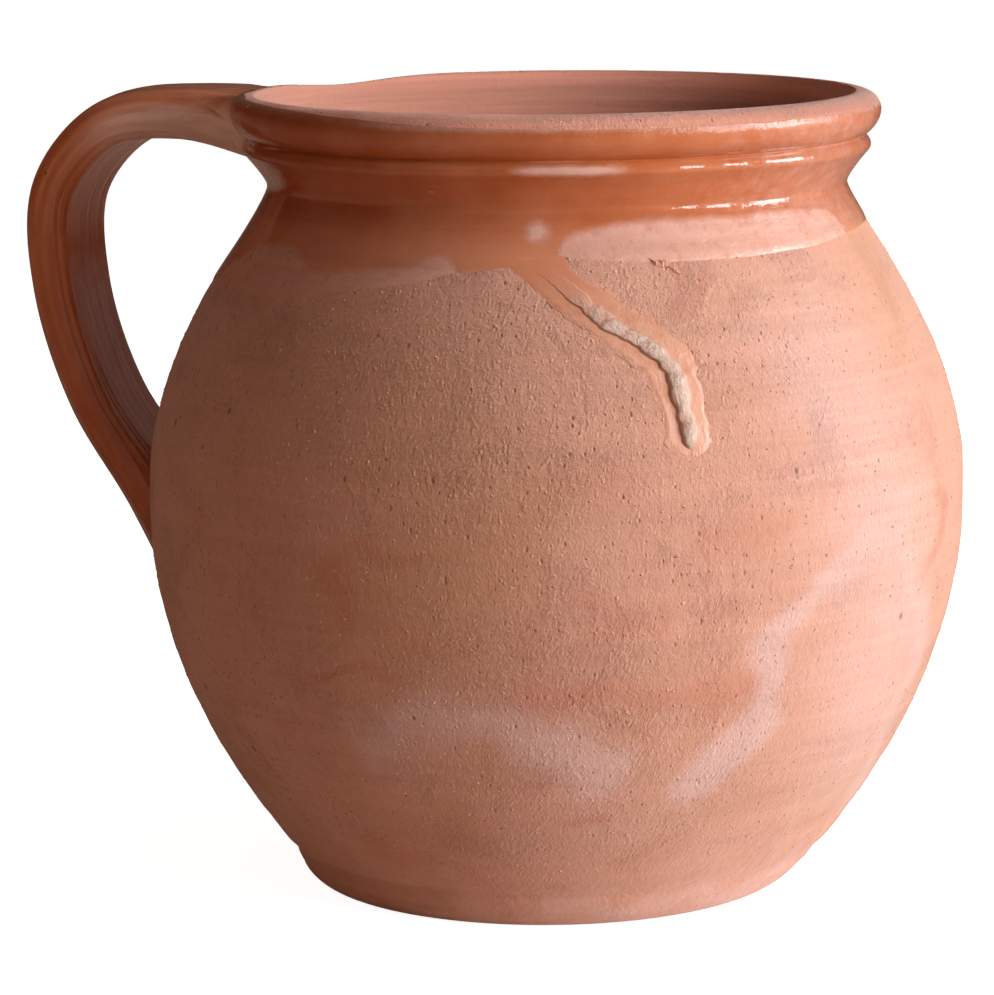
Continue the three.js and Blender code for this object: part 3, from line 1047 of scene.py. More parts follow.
    def wheel(self) -> bpy.types.NodeTree:
        """The tree that turns an outline about the axis and leaves the rings of the fingers in the wall.

        Returns:
            A Geometry Nodes tree whose input mesh holds the outline, point by point.
        """
        wire, given, result = new_tree("wheel", {
            "Turns": "Int", "Ring Depth": "Float", "Ring Spacing": "Float", "Material": "Material",
        })
        outline = given["Geometry"]
        place = wire.add("GeometryNodeInputPosition").outputs["Position"]
        count = wire.add("GeometryNodeAttributeDomainSize", {"Geometry": outline}, component="MESH")
        rows = count.outputs["Point Count"]
        sheet = wire.add("GeometryNodeMeshGrid", {
            "Size X": 1, "Size Y": 1, "Vertices X": wire.maths("ADD", given["Turns"], 1), "Vertices Y": rows,
        }).outputs["Mesh"]
        across, up, height = wire.axes(place)
        row = wire.times(wire.maths("ADD", up, 0.5), wire.maths("SUBTRACT", rows, 1))
        point = wire.add("GeometryNodeSampleIndex", {
            "Geometry": outline, "Value": place, "Index": wire.maths("ROUND", row),
        }, data_type="FLOAT_VECTOR", domain="POINT").outputs["Value"]
        turned = wire.add("ShaderNodeVectorRotate", {
            "Vector": point, "Angle": wire.times(across, 2 * math.pi),
        }, rotation_type="Z_AXIS").outputs["Vector"]
        pot = wire.add("GeometryNodeSetPosition", {"Geometry": sheet, "Position": turned}).outputs[0]
        pot = wire.add("GeometryNodeMergeByDistance", {"Geometry": pot, "Distance": self.weld}).outputs[0]

        stretch = wire.joined(RING_DRIFT, RING_DRIFT, wire.maths("DIVIDE", 1, given["Ring Spacing"]))
        level = wire.add("ShaderNodeVectorMath", {0: place, 1: stretch}, operation="MULTIPLY").outputs[0]
        deep = wire.times(
            wire.ramp(wire.noise(level, 1, 2, 0.5), 0.25, 0.75, -1, 1), given["Ring Depth"],
            wire.ramp(height, *self.rings_from), wire.ramp(height, *self.rings_to, 1, 0),
        )
        outward = wire.add("GeometryNodeInputNormal").outputs["Normal"]
        offset = wire.scaled(outward, deep)
        pot = wire.add("GeometryNodeSetPosition", {"Geometry": pot, "Offset": offset}).outputs[0]
        pot = wire.add("GeometryNodeRealizeInstances", {"Geometry": pot}).outputs[0]
        pot = wire.add("GeometryNodeSetMaterial", {"Geometry": pot, "Material": given["Material"]}).outputs[0]
        wire.tree.links.new(pot, result.inputs["Geometry"])
        return wire.tree

    def throw(self, name: str, outline: Array, material: Material) -> Piece:
        """Turns an outline into a closed piece.

        Args:
            name: The piece's name.
            outline: Rows of radius and height, from the axis and back to it.
            material: The piece's material.

        Returns:
            The piece.
        """
        start = bpy.data.meshes.new(name + "_outline")
        start.from_pydata([(radius, 0.0, height) for radius, height in outline.tolist()], [], [])
        piece = grow(name, start, self.wheel(), {
            "Turns": self.turns, "Ring Depth": self.ring_depth, "Ring Spacing": self.ring_spacing,
            "Material": material,
        })
        close_up(piece.data)
        return piece

    def trails(self, points: Array, marks: tuple[Trail, ...]) -> Array:
        """Strength of a set of marks at each point of the wall, with edges that wander.

        Args:
            points: Rows of x, y and z.
            marks: The marks.

        Returns:
            A share from 0 to 1 for each point.
        """
        turn = np.arctan2(points[:, 1], points[:, 0])
        high = points[:, 2] / MM
        girth = self.belly[0] / MM
        drift = sum(wave.at(turn, high) for wave in self.mark_drift)
        lift = sum(wave.at(turn, high) for wave in self.mark_lift)
        total = np.zeros(len(points))
        for mark in marks:
            away = np.full(len(points), np.inf)
            for (first, low), (last, top) in zip(mark.line[:-1], mark.line[1:]):
                aside = wrapped(np.degrees(turn) - first, 360) * math.radians(1) * girth + drift
                over = high - low + lift
                run, rise = math.radians(last - first) * girth, top - low
                share = np.clip((aside * run + over * rise) / (run ** 2 + rise ** 2), 0, 1)
                away = np.minimum(away, np.hypot(aside - share * run, over - share * rise))
            far = away / mark.half
            fading = self.mark_core * hump(far, 1) + (1 - self.mark_core) * hump(far, self.mark_haze)
            total = np.maximum(total, mark.strength * fading)
        return total

    def dress(self, bare: Material, glaze: Material, hand: PottersHand) -> None:
        """Makes the body, its open grain and its lining.

        Args:
            bare: The bare clay.
            glaze: The lining's glaze.
            hand: How far the pot strays from true.
        """
        outer, inner = self.outside(), self.inside()
        flat = np.linspace(0, self.base_radius, self.base_rows + 1)[:-1]
        base = np.column_stack([flat, np.zeros(self.base_rows)])
        flat = np.linspace(self.floor_radius, 0, self.floor_rows + 1)[1:]
        floor = np.column_stack([flat, np.full(self.floor_rows, self.floor)])
        body = self.throw("thrown_body_clay", np.vstack([base, outer, inner[1:], floor]), bare)
        points = read_points(body.data)
        reach = np.hypot(points[:, 0], points[:, 1])
        outward = reach > self.radius_at(points[:, 2]) - self.wall / 2
        height = points[:, 2]
        # The bloom marks hold painted light on the side towards the key and the earth marks painted shade on
        # the front left.
        paint(body.data, "bloom_and_painted_light", self.trails(points, self.blooms_and_painted_light) * outward)
        paint(body.data, "smear", self.trails(points, self.smears) * outward)
        paint(body.data, "earth_and_painted_shade", self.trails(points, self.earths_and_painted_shade) * outward)
        turn = np.arctan2(points[:, 1], points[:, 0])
        sand = self.sandy_below + (1 - self.sandy_below) * eased(*self.sandy_from, height)
        sand = sand * eased(*self.sandy_foot, height)
        sand = sand * (1 - self.sponged * hump(turn - self.sponged_turn, self.sponged_wide))
        paint(body.data, "sand", sand * outward)
        paint(body.data, "rim", np.where(outward, eased(*self.bare_rim, height), 1.0))
        # Painted shade: the inside darkened towards the right and the top of the rim towards the front right.
        inner_shade = hump(turn - self.inner_shade_turn, self.inner_shade_wide)
        inner_shade = inner_shade * (1 - eased(*self.inner_shade_end, height))
        shade = self.rim_shade * hump(turn - self.rim_turn, self.rim_wide)
        shade = shade * eased(*self.rim_shaded, height)
        paint(body.data, "painted_shade", np.where(outward, shade, np.maximum(self.inner_shade_most * inner_shade, shade)))
        grit = self.scatter(body, bare)
        hand.press(body)
        hand.press(grit)
        hand_in(body, bare, "thrown_body")
        hand_in(grit, bare, None)

        low = inner[inner[:, 1] < self.lining_top]
        step = np.gradient(low, axis=0)
        away = np.column_stack([step[:, 1], -step[:, 0]]) / np.hypot(*step.T)[:, None]
        coat = low + away * self.lining
        sunk = low - away * self.lining
        top = coat[:1] + np.array([[self.lining * self.lining_lip, self.lining]])
        bottom = [np.array([[0.0, self.floor - self.lining]]), np.array([[0.0, self.floor + self.lining]])]
        rows = np.vstack([bottom[0], sunk[::-1], top, coat, bottom[1]])
        lining = self.throw("lining_glaze_coat", rows, glaze)
        most, less = self.lining_pooled
        paint(lining.data, "pooled_and_painted_shade", most - less * eased(*self.lining_fade, read_points(lining.data)[:, 2]))
        hand.press(lining)
        hand_in(lining, glaze, "inside_glaze")

    def drag(self, material: Material, hand: PottersHand) -> None:
        """Makes the scrap of clay that a finger dragged up under the collar.

        Args:
            material: The bare clay.
            hand: How far the pot strays from true.
        """
        flat = np.array([(math.radians(turn) * self.belly[0], high * MM) for turn, high in self.scrap])
        line = smooth_path(flat, self.scrap_rows)
        gone = np.linspace(0, 1, self.scrap_rows)[:, None]
        lead = np.gradient(line, axis=0)
        side = np.column_stack([-lead[:, 1], lead[:, 0]]) / np.hypot(*lead.T)[:, None]
        slim = np.sin(math.pi * gone) ** self.scrap_taper
        slim = slim * (1 + self.scrap_torn * wander(gone * 6, seed=71, waves=12))
        angle = np.linspace(0, 2 * math.pi, self.scrap_sides, endpoint=False)
        across = self.scrap_half * slim * np.cos(angle)
        flat = line[:, None] + side[:, None] * across[..., None]
        out = self.scrap_half * slim * np.sin(angle) + self.scrap_lift
        piece = skin("dragged_scrap", self.over(flat[..., 0] / self.belly[0], flat[..., 1], out), marks={
            "sand": np.full(out.shape, self.scrap_sand), "bloom_and_painted_light": np.full(out.shape, self.scrap_bloom),
        })
        hand.press(piece)
        hand_in(piece, material, None)

    def scatter(self, body: Piece, material: Material) -> Piece:
        """Lays coarse grains of sand in the skin, most of them where the wall was stretched.

        Args:
            body: The body, with its mark sand.
            material: The clay.

        Returns:
            All grains as one piece.
        """
        wire, given, result = new_tree("open_grain", {
            "Density": "Float", "Grain": "Float", "Seed": "Int", "Material": "Material",
        })
        sand = wire.add("GeometryNodeInputNamedAttribute", {"Name": "sand"}, data_type="FLOAT")
        height = wire.axes(wire.add("GeometryNodeInputPosition").outputs["Position"])[2]
        below = wire.ramp(height, *self.grain_end, 1, 0)
        amount = wire.times(sand.outputs["Attribute"], given["Density"], below)
        spread = wire.add("GeometryNodeDistributePointsOnFaces", {
            "Mesh": given["Geometry"], "Density": amount, "Seed": given["Seed"],
        }, distribute_method="RANDOM").outputs
        grain = wire.add("GeometryNodeMeshIcoSphere", {"Radius": given["Grain"], "Subdivisions": 1})
        least, most = self.grain_sizes
        size = wire.add("FunctionNodeRandomValue", {
            0: least, 1: most, "Seed": given["Seed"],
        }, data_type="FLOAT_VECTOR")
        laid = wire.add("GeometryNodeInstanceOnPoints", {
            "Points": spread["Points"], "Instance": grain.outputs["Mesh"], "Rotation": spread["Rotation"],
            "Scale": size.outputs[0],
        }).outputs[0]
        laid = wire.add("GeometryNodeRealizeInstances", {"Geometry": laid}).outputs[0]
        laid = wire.add("GeometryNodeSetMaterial", {"Geometry": laid, "Material": given["Material"]})
        wire.tree.links.new(laid.outputs[0], result.inputs["Geometry"])
        grains = grow("open_grain", body.data.copy(), wire.tree, {
            "Density": self.grains, "Grain": self.grain_radius, "Seed": self.grain_seed, "Material": material,
        })
        for face in grains.data.polygons:
            face.use_smooth = True
        paint(grains.data, "sand", np.full(len(grains.data.vertices), self.grain_sand))
        return grains


@dataclass
class StrapHandle:
    """The pulled strap: its middle line from rim to belly, its section and the marks of the pulling."""

    body: ThrownBody
    line: Line = (
        (68, 188.8), (100, 193), (120.2, 189.5), (135.2, 172.5), (135.6, 147), (126, 118), (108.5, 93),
        (82, 52),
    )
    width: float = 31.4 * MM
    thickness: float = 13.3 * MM
    taper: float = 0.175
    squareness: float = 0.78
    groove_depth: float = 1.1 * MM
    groove_width: float = 9 * MM
    root_flare: tuple[float, float, float] = (14 * MM, 4.4 * MM, 24 * MM)
    tail_flare: tuple[float, float, float] = (14 * MM, 4.8 * MM, 48 * MM)
    coat_inside: float = 0.12 * MM
    coat_outside: float = 0.6 * MM
    seat: float = -1.0 * MM
    rows: int = 150
    sides: int = 112
    path_points: int = 400
    halvings: int = 40
    root_search: Pair = (0.0, 0.32)
    tail_search: Pair = (1.0, 0.6)
    pull_seed: int = 11
    pull_marks: int = 15
    pull_drift: float = 0.06
    pull_swings: Pair = (3, 7)
    pull_wide: Pair = (0.07, 0.2)
    pull_relief: Pair = (-1, 0.8)
    pull_fade: float = 0.4
    fade_swings: Pair = (4, 11)
    swing_start: float = 6
    inner_pull: float = 1.5
    pull_depth: float = 0.32 * MM
    crest: float = 0.55 * MM
    crest_wide: float = 0.15
    crest_drift: float = 0.05
    crest_swings: float = 6
    crest_from: Pair = (0.06, 0.2)
    clay_sand: float = 0.3
    # Painted shade down the strap towards the tail, from its least at the root.
    least_strap_shade: float = 0.1
    darker_from: Pair = (0.3, 0.9)
    pale_to: Pair = (0.1, 0.4)
    pale_face: Pair = (-6 * MM, 1 * MM)
    crests: tuple[float, ...] = (0.8, 2.3, 4.0, 5.45)
    path: Array = field(init=False)
    length: float = field(init=False)

    def __post_init__(self) -> None:
        """Works out the middle line and its length."""
        points = np.array([(-reach * MM, height * MM) for reach, height in self.line])
        self.path = smooth_path(points, self.path_points)
        self.length = float(np.linalg.norm(np.diff(self.path, axis=0), axis=1).sum())

    def pulled(self, angle: Array, share: Array) -> Array:
        """Relief that the wet fingers left along the strap.

        Args:
            angle: Places round the section, in radians.
            share: Places along the strap, from 0 to 1.

        Returns:
            How far the surface stands out or in.
        """
        chance = np.random.default_rng(self.pull_seed)
        relief = np.zeros(np.broadcast(angle, share).shape)
        for _ in range(self.pull_marks):
            middle = chance.uniform(0, 2 * math.pi)
            swing = np.sin(chance.uniform(*self.pull_swings) * share + chance.uniform(0, self.swing_start))
            middle = middle + self.pull_drift * swing
            wide = chance.uniform(*self.pull_wide)
            deep = chance.uniform(*self.pull_relief)
            swing = np.sin(chance.uniform(*self.fade_swings) * share + chance.uniform(0, self.swing_start))
            deep = deep * ((1 - self.pull_fade) + self.pull_fade * swing)
            off = wrapped(angle - middle)
            relief = relief + deep * hump(off, wide)
        raised = np.zeros(relief.shape)
        for middle in self.crests:
            off = wrapped(angle - middle - self.crest_drift * np.sin(self.crest_swings * share + middle))
            raised = raised + hump(off, self.crest_wide)
        inner = np.where(np.sin(angle) < 0, self.inner_pull, 1.0)
        return self.pull_depth * relief * inner + self.crest * raised * eased(*self.crest_from, share)

    def surface(self, share: Array, angle: Array, margin: Array | float) -> tuple[Array, Array]:
        """Points on the strap's surface.

        Args:
            share: Places along the middle line, from 0 at the rim to 1 in the belly.
            angle: Places round the section; a quarter turn is the middle of the outer face.
            margin: How far outside the surface.

        Returns:
            The points, and how far each is outwards from the middle line.
        """
        steps = np.linspace(0, 1, len(self.path))
        lead = np.gradient(self.path, axis=0)
        lead = lead / np.hypot(*lead.T)[:, None]
        x, z, lead_x, lead_z = (np.interp(share, steps, values) for values in (*self.path.T, *lead.T))
        run = share * self.length
        wide = self.width * (1 - self.taper * share)
        thick = self.thickness * (1 - self.taper * share)
        flares = ((self.root_flare, run), (self.tail_flare, self.length - run))
        for (more_wide, more_thick, reach), gone in flares:
            near = hump(gone, reach)
            wide, thick = wide + more_wide * near, thick + more_thick * near
        cosine, sine = np.cos(angle), np.sin(angle)
        sideways = (wide / 2 + margin) * np.sign(cosine) * np.abs(cosine) ** self.squareness
        out = (thick / 2 + margin) * np.sign(sine) * np.abs(sine) ** self.squareness
        out = out - np.where(sine > 0, self.groove_depth * hump(sideways, self.groove_width), 0)
        points = np.stack([x - lead_z * out, -sideways, z + lead_x * out], axis=-1)
        return points, out

    def meet(self, end: End, angle: Array, margin: Array | float, out: Array | float) -> Array:
        """Where each line along the strap reaches the body.

        Args:
            end: The end of the strap.
            angle: The lines, by their places round the section.
            margin: How far outside the strap's surface the lines are.
            out: How far off the body's wall they stop.

        Returns:
            The share of the strap's length at which each line stops.
        """
        inside, outside = self.root_search if end is End.ROOT else self.tail_search
        buried, free = np.full(angle.shape, inside), np.full(angle.shape, outside)
        for _ in range(self.halvings):
            half = (buried + free) / 2
            points, _ = self.surface(half, angle, margin)
            under = np.hypot(points[..., 0], points[..., 1]) < self.body.radius_at(points[..., 2]) + out
            buried, free = np.where(under, half, buried), np.where(under, free, half)
        return (buried + free) / 2

    def rings(self, margin: float) -> tuple[Array, dict[str, Array]]:
        """Rings of the strap from the rim to the belly, each line ending just under the body's skin.

        Args:
            margin: How far outside the strap's surface.

        Returns:
            The rings, and for each point the marks along and depth.
        """
        angle = np.linspace(0, 2 * math.pi, self.sides, endpoint=False)
        start, stop = (self.meet(end, angle, margin, self.seat) for end in (End.ROOT, End.TAIL))
        step = np.linspace(0, 1, self.rows)[:, None]
        share = start + (stop - start) * step
        around = np.broadcast_to(angle, share.shape)
        points, out = self.surface(share, around, margin + self.pulled(around, share))
        return points, {"along": share * self.length, "depth": out}

    def dress(self, clay: Material, glaze: Material, hand: PottersHand) -> None:
        """Makes the strap and its coat of glaze.

        Args:
            clay: The bare clay.
            glaze: The handle's glaze.
            hand: How far the pot strays from true.
        """
        core, marks = self.rings(0.0)
        strap = skin("pulled_strap", core, marks={**marks, "sand": np.full(core.shape[:2], self.clay_sand)})
        hand.press(strap, strap=True)
        hand_in(strap, clay, "strap_handle")

        outer, marks = self.rings(self.coat_outside)
        inner, _ = self.rings(self.coat_inside)
        both = {key: np.concatenate([value, value[::-1]]) for key, value in marks.items()}
        share = marks["along"] / self.length
        # Darker towards the tail, where the belly shades the strap: painted shade.
        deep = self.least_strap_shade + (1 - self.least_strap_shade) * eased(*self.darker_from, share)
        pale = (1 - eased(*self.pale_to, share)) * eased(*self.pale_face, marks["depth"])
        both["pooled_and_painted_shade"] = np.concatenate([deep, deep[::-1]])
        both["veil_and_painted_light"] = np.concatenate([pale, pale[::-1]])
        coat = skin("strap_glaze_coat", np.concatenate([outer, inner[::-1]]), loop=True, marks=both)
        hand.press(coat, strap=True)
        hand_in(coat, glaze, "handle_glaze")


@dataclass
class Luting:
    """The soft clay that was thumbed round one end of the strap, smeared out on strap and body."""

    handle: StrapHandle
    end: End
    node: str
    margin: float
    reach: float
    off_wall: float
    over_strap: float
    seed: int
    uneven: float = 0.3
    under: float = 0.9
    under_reach: float = 0.35
    under_slack: float = 0.4
    under_lift: float = 0.6
    thinned: float = 0.3
    sand: float = 0.5
    pooled_and_painted_shade: float = 0.2
    veil_and_painted_light: Pair = (-0.9, 0.1)
    bury: float = 1.2 * MM
    ceiling: float = 198.4 * MM
    soften: float = 0.5 * MM
    steps: int = 22
    sides: int = 160

    def dress(self, material: Material, hand: PottersHand) -> None:
        """Makes the seam as a closed ring round the strap.

        Args:
            material: What covers the seam.
            hand: How far the pot strays from true.
        """
        handle = self.handle
        angle = np.linspace(0, 2 * math.pi, self.sides, endpoint=False)
        away = 1 if self.end is End.ROOT else -1
        spread = 1 + self.uneven * wander(angle, self.seed)
        climb = 1 + self.uneven * wander(angle, self.seed + 1)
        below = np.clip(-np.sin(angle), 0, 1)
        sag = 1 + self.under * below
        far = 1 + self.under_reach * self.under * below
        straight = 2 - self.under_slack * self.under * below
        top, under = [], []
        for share in np.linspace(0, 1, self.steps):
            margin = self.over_strap * (1 - share) + self.margin * spread * sag * share ** straight
            lift = self.reach * climb * far * (1 - share) ** straight / handle.length
            thin = self.bury * math.sin(math.pi * share)
            meets = handle.meet(self.end, angle, margin, self.off_wall)
            marks = handle.pulled(angle, np.clip(meets + away * lift, 0, 1)) * (1 - share)
            top.append(handle.surface(meets + away * lift, angle, margin + marks)[0])
            sunk = handle.meet(self.end, angle, margin - self.thinned * thin, self.off_wall - self.bury)
            below_lift = sunk + away * lift * self.under_lift
            under.append(handle.surface(below_lift, angle, margin - self.bury)[0])
        rings = np.stack(top + under[::-1])
        rings[..., 2] -= self.soften * np.logaddexp(0, (rings[..., 2] - self.ceiling) / self.soften)
        piece = skin(self.node + "_seam", rings, loop=True, marks={
            "sand": np.full(rings.shape[:2], self.sand), "pooled_and_painted_shade": np.full(rings.shape[:2], self.pooled_and_painted_shade),
            "veil_and_painted_light": np.broadcast_to(eased(*self.veil_and_painted_light, np.sin(angle)), rings.shape[:2]),
        })
        hand.press(piece, strap=True)
        hand_in(piece, material, self.node)


@dataclass
class CollarGlaze:
    """The dipped coat over lip, ridge, neck and shoulder: its leaning lower edge and the veil along it, with
    painted light in that veil: a reflection spot, a highlight on the ridge and a paler side towards the key.
    """

    body: ThrownBody
    top: Line = (
        (-172, 199.9), (-150, 199.75), (-128, 199.6), (-106, 198.6), (-80, 197.3), (-40, 197), (0, 197.4),
        (60, 197.8),
        (120, 198), (150, 198.2), (163, 199.5), (172, 199.9),
    )
    lower_edge: Line = (
        (-170, 153), (-153, 153), (-135, 154.5), (-124, 154.3), (-112, 156.2), (-102, 158.4), (-93, 161),
        (-86.5, 162.6), (-82, 163.2), (-78, 163.8), (-74, 165.2), (-70, 166), (-65, 165.3), (-56, 164.6),
        (-41, 164.6), (-22, 165.5), (-5, 167),
        (30, 168), (60, 166), (90, 162.5), (120, 158.5), (150, 155), (175, 153),
    )
    veil_top: Line = (
        (-170, 152), (-153, 158), (-144, 162.2), (-136, 166), (-123, 167), (-116, 162.5), (-107, 163.4),
        (-97, 164.4),
        (-91, 167.5), (-88, 166), (-85, 160), (-72, 160), (-69.5, 170), (-67.5, 172.5), (-62, 174.7),
        (-47, 175.8),
        (-33, 175.6), (-19, 176.2), (-7, 173.7), (-3, 166), (20, 165), (34, 173), (58, 174), (76, 168),
        (88, 160),
        (120, 156), (136, 163), (152, 161), (165, 153),
    )
    # A painted reflection: a pale spot on the neck, as turn, height and width.
    spot: tuple[float, float, float] = (-73.4, 172.3, 3.2)
    veil_most: float = 0.66
    veil_waves: float = 0.8 * MM
    veil_soft: Pair = (-2.6 * MM, 1.2 * MM)
    reflection_spot_most: float = 0.8
    lip_most: float = 0.6
    lip_from: Pair = (194.8 * MM, 197.4 * MM)
    # Painted light: the coat paler on the side towards the key.
    lit_side_pale_most: float = 0.4
    lip_bare: Pair = (math.radians(-118), math.radians(-92))
    # Where that painted paling is centred and how wide it spreads.
    lit_side_turn: float = math.radians(-14)
    lit_side_wide: float = math.radians(36)
    # A painted highlight on the front of the ridge: turn, half width and strength.
    ridge_painted_highlight: tuple[float, float, float] = (math.radians(-68), math.radians(10), 0.8)
    ridge_highlight_high: float = 1.3 * MM
    pooled_neck: float = 0.85
    pooled_groove: float = 0.15
    darker_from: Pair = (166 * MM, 176 * MM)
    groove_wide: float = 2 * MM
    rough_from: Pair = (193 * MM, 195.5 * MM)
    run_turn: float = -74.0
    run_wide: float = 8.0
    waves: float = 0.45 * MM
    top_waves: float = 0.3 * MM
    under_rim: float = 0.03 * MM
    coat: float = 0.3 * MM
    bead: float = 0.04 * MM
    bead_wide: float = 1.6 * MM
    edge_round: float = 2.2 * MM
    edge_soft: float = 0.6
    edge_sunk: float = 0.02 * MM
    edge_crowding: float = 1.25
    run_taper: float = 3 * MM
    sunk: float = 0.4 * MM
    columns: int = 460
    rows: int = 130
    under_rows: int = 14

    def edge(self, turn: Array) -> Array:
        """Height of the lower edge at each angle about the axis, in radians."""
        return around(self.lower_edge, turn) + self.waves * wander(turn, seed=5, waves=24)

    def veil_and_painted_light(self, turn: Array, height: Array) -> Array:
        """Where the coat is pale: milky under a wavy line, and painted light in a spot that stands for a
        reflection, in a highlight along the front of the ridge and on the side towards the key.

        Args:
            turn: Angles about the axis, in radians.
            height: Heights on the wall.

        Returns:
            A share from 0 to 1 for each place.
        """
        line = around(self.veil_top, turn) + self.veil_waves * wander(turn, seed=23, waves=40)
        under = self.veil_most * (1 - eased(*self.veil_soft, height - line))
        # The spot is a painted reflection.
        place, high, wide = self.spot
        aside = wrapped(np.degrees(turn) - place, 360)
        away = np.hypot(math.radians(1) * aside * self.body.neck[0], height - high * MM)
        # Painted light: paler on the side towards the key.
        lit_side_pale = self.lit_side_pale_most * hump(turn - self.lit_side_turn, self.lit_side_wide)
        # A painted highlight along the front of the ridge.
        middle, half, strength = self.ridge_painted_highlight
        over = (height - self.body.ridge[1] - MM) / self.ridge_highlight_high
        ridge_highlight = strength * np.exp(-((turn - middle) / half) ** 4 - over ** 2)
        return np.maximum.reduce([under, self.reflection_spot_most * hump(away, wide * MM), lit_side_pale + ridge_highlight])

    def dress(self, glaze: Material, hand: PottersHand) -> None:
        """Makes the coat, a little thicker along its lower edge, thinning to nothing where the run leaves it.

        Args:
            glaze: The glaze.
            hand: How far the pot strays from true.
        """
        turn = np.linspace(0, 2 * math.pi, self.columns, endpoint=False)
        outline = self.body.outside()
        gone = np.concatenate([[0], np.cumsum(np.linalg.norm(np.diff(outline, axis=0), axis=1))])
        step = np.gradient(outline, axis=0)
        away = np.column_stack([step[:, 1], -step[:, 0]]) / np.hypot(*step.T)[:, None]
        top = around(self.top, turn) + self.top_waves * wander(turn, seed=9, waves=40)
        high = np.interp(top, outline[:, 1], gone)
        low = np.interp(self.edge(turn), outline[:, 1], gone)

        def lay(share: Array, thickness: Array) -> Array:
            """Rows of points over the wall at shares of the way from the top edge to the lower edge."""
            at = high + (low - high) * share[:, None]
            radius, height, out, up = (np.interp(at, gone, values) for values in (*outline.T, *away.T))
            radius = radius + out * thickness
            height = np.minimum(height + up * thickness, self.body.rim_height - self.under_rim)
            return np.stack([radius * np.cos(turn), radius * np.sin(turn), height], axis=-1)

        share = 1 - (1 - np.linspace(0, 1, self.rows)) ** self.edge_crowding
        from_edge = (high - low) * (1 - share[:, None])
        from_top = (high - low) * share[:, None]
        off = wrapped(np.degrees(turn) - self.run_turn, 360)
        leaving = np.exp(-(off / self.run_wide) ** 4)
        thickness = self.coat + self.bead * (1 - leaving) * hump(from_edge, self.bead_wide)
        taper = self.edge_round + self.run_taper * leaving
        thickness = thickness * eased(0, 1, from_edge / taper) ** self.edge_soft
        thickness = thickness * eased(0, 1, from_top / self.edge_round) ** self.edge_soft
        upper = lay(share, thickness - self.edge_sunk)
        rows = self.under_rows
        lower = lay(np.linspace(1, 0, rows), np.full((rows, self.columns), -self.sunk))
        rings = np.concatenate([upper, lower])
        height = rings[..., 2]
        around_turn = wrapped(np.broadcast_to(turn, height.shape))
        groove = hump(height - self.body.groove[1], self.groove_wide)
        lip_veil = self.lip_most * eased(*self.lip_from, height) * eased(*self.lip_bare, around_turn)
        pooled_and_painted_shade = self.pooled_neck * eased(*self.darker_from, height) + self.pooled_groove * groove
        piece = skin("dipped_collar", rings, loop=True, marks={
            "veil_and_painted_light": np.maximum(self.veil_and_painted_light(around_turn, height), lip_veil),
            "pooled_and_painted_shade": np.clip(pooled_and_painted_shade, 0, 1),
            "rough": eased(*self.rough_from, height),
        })
        hand.press(piece)
        hand_in(piece, glaze, "collar_glaze")


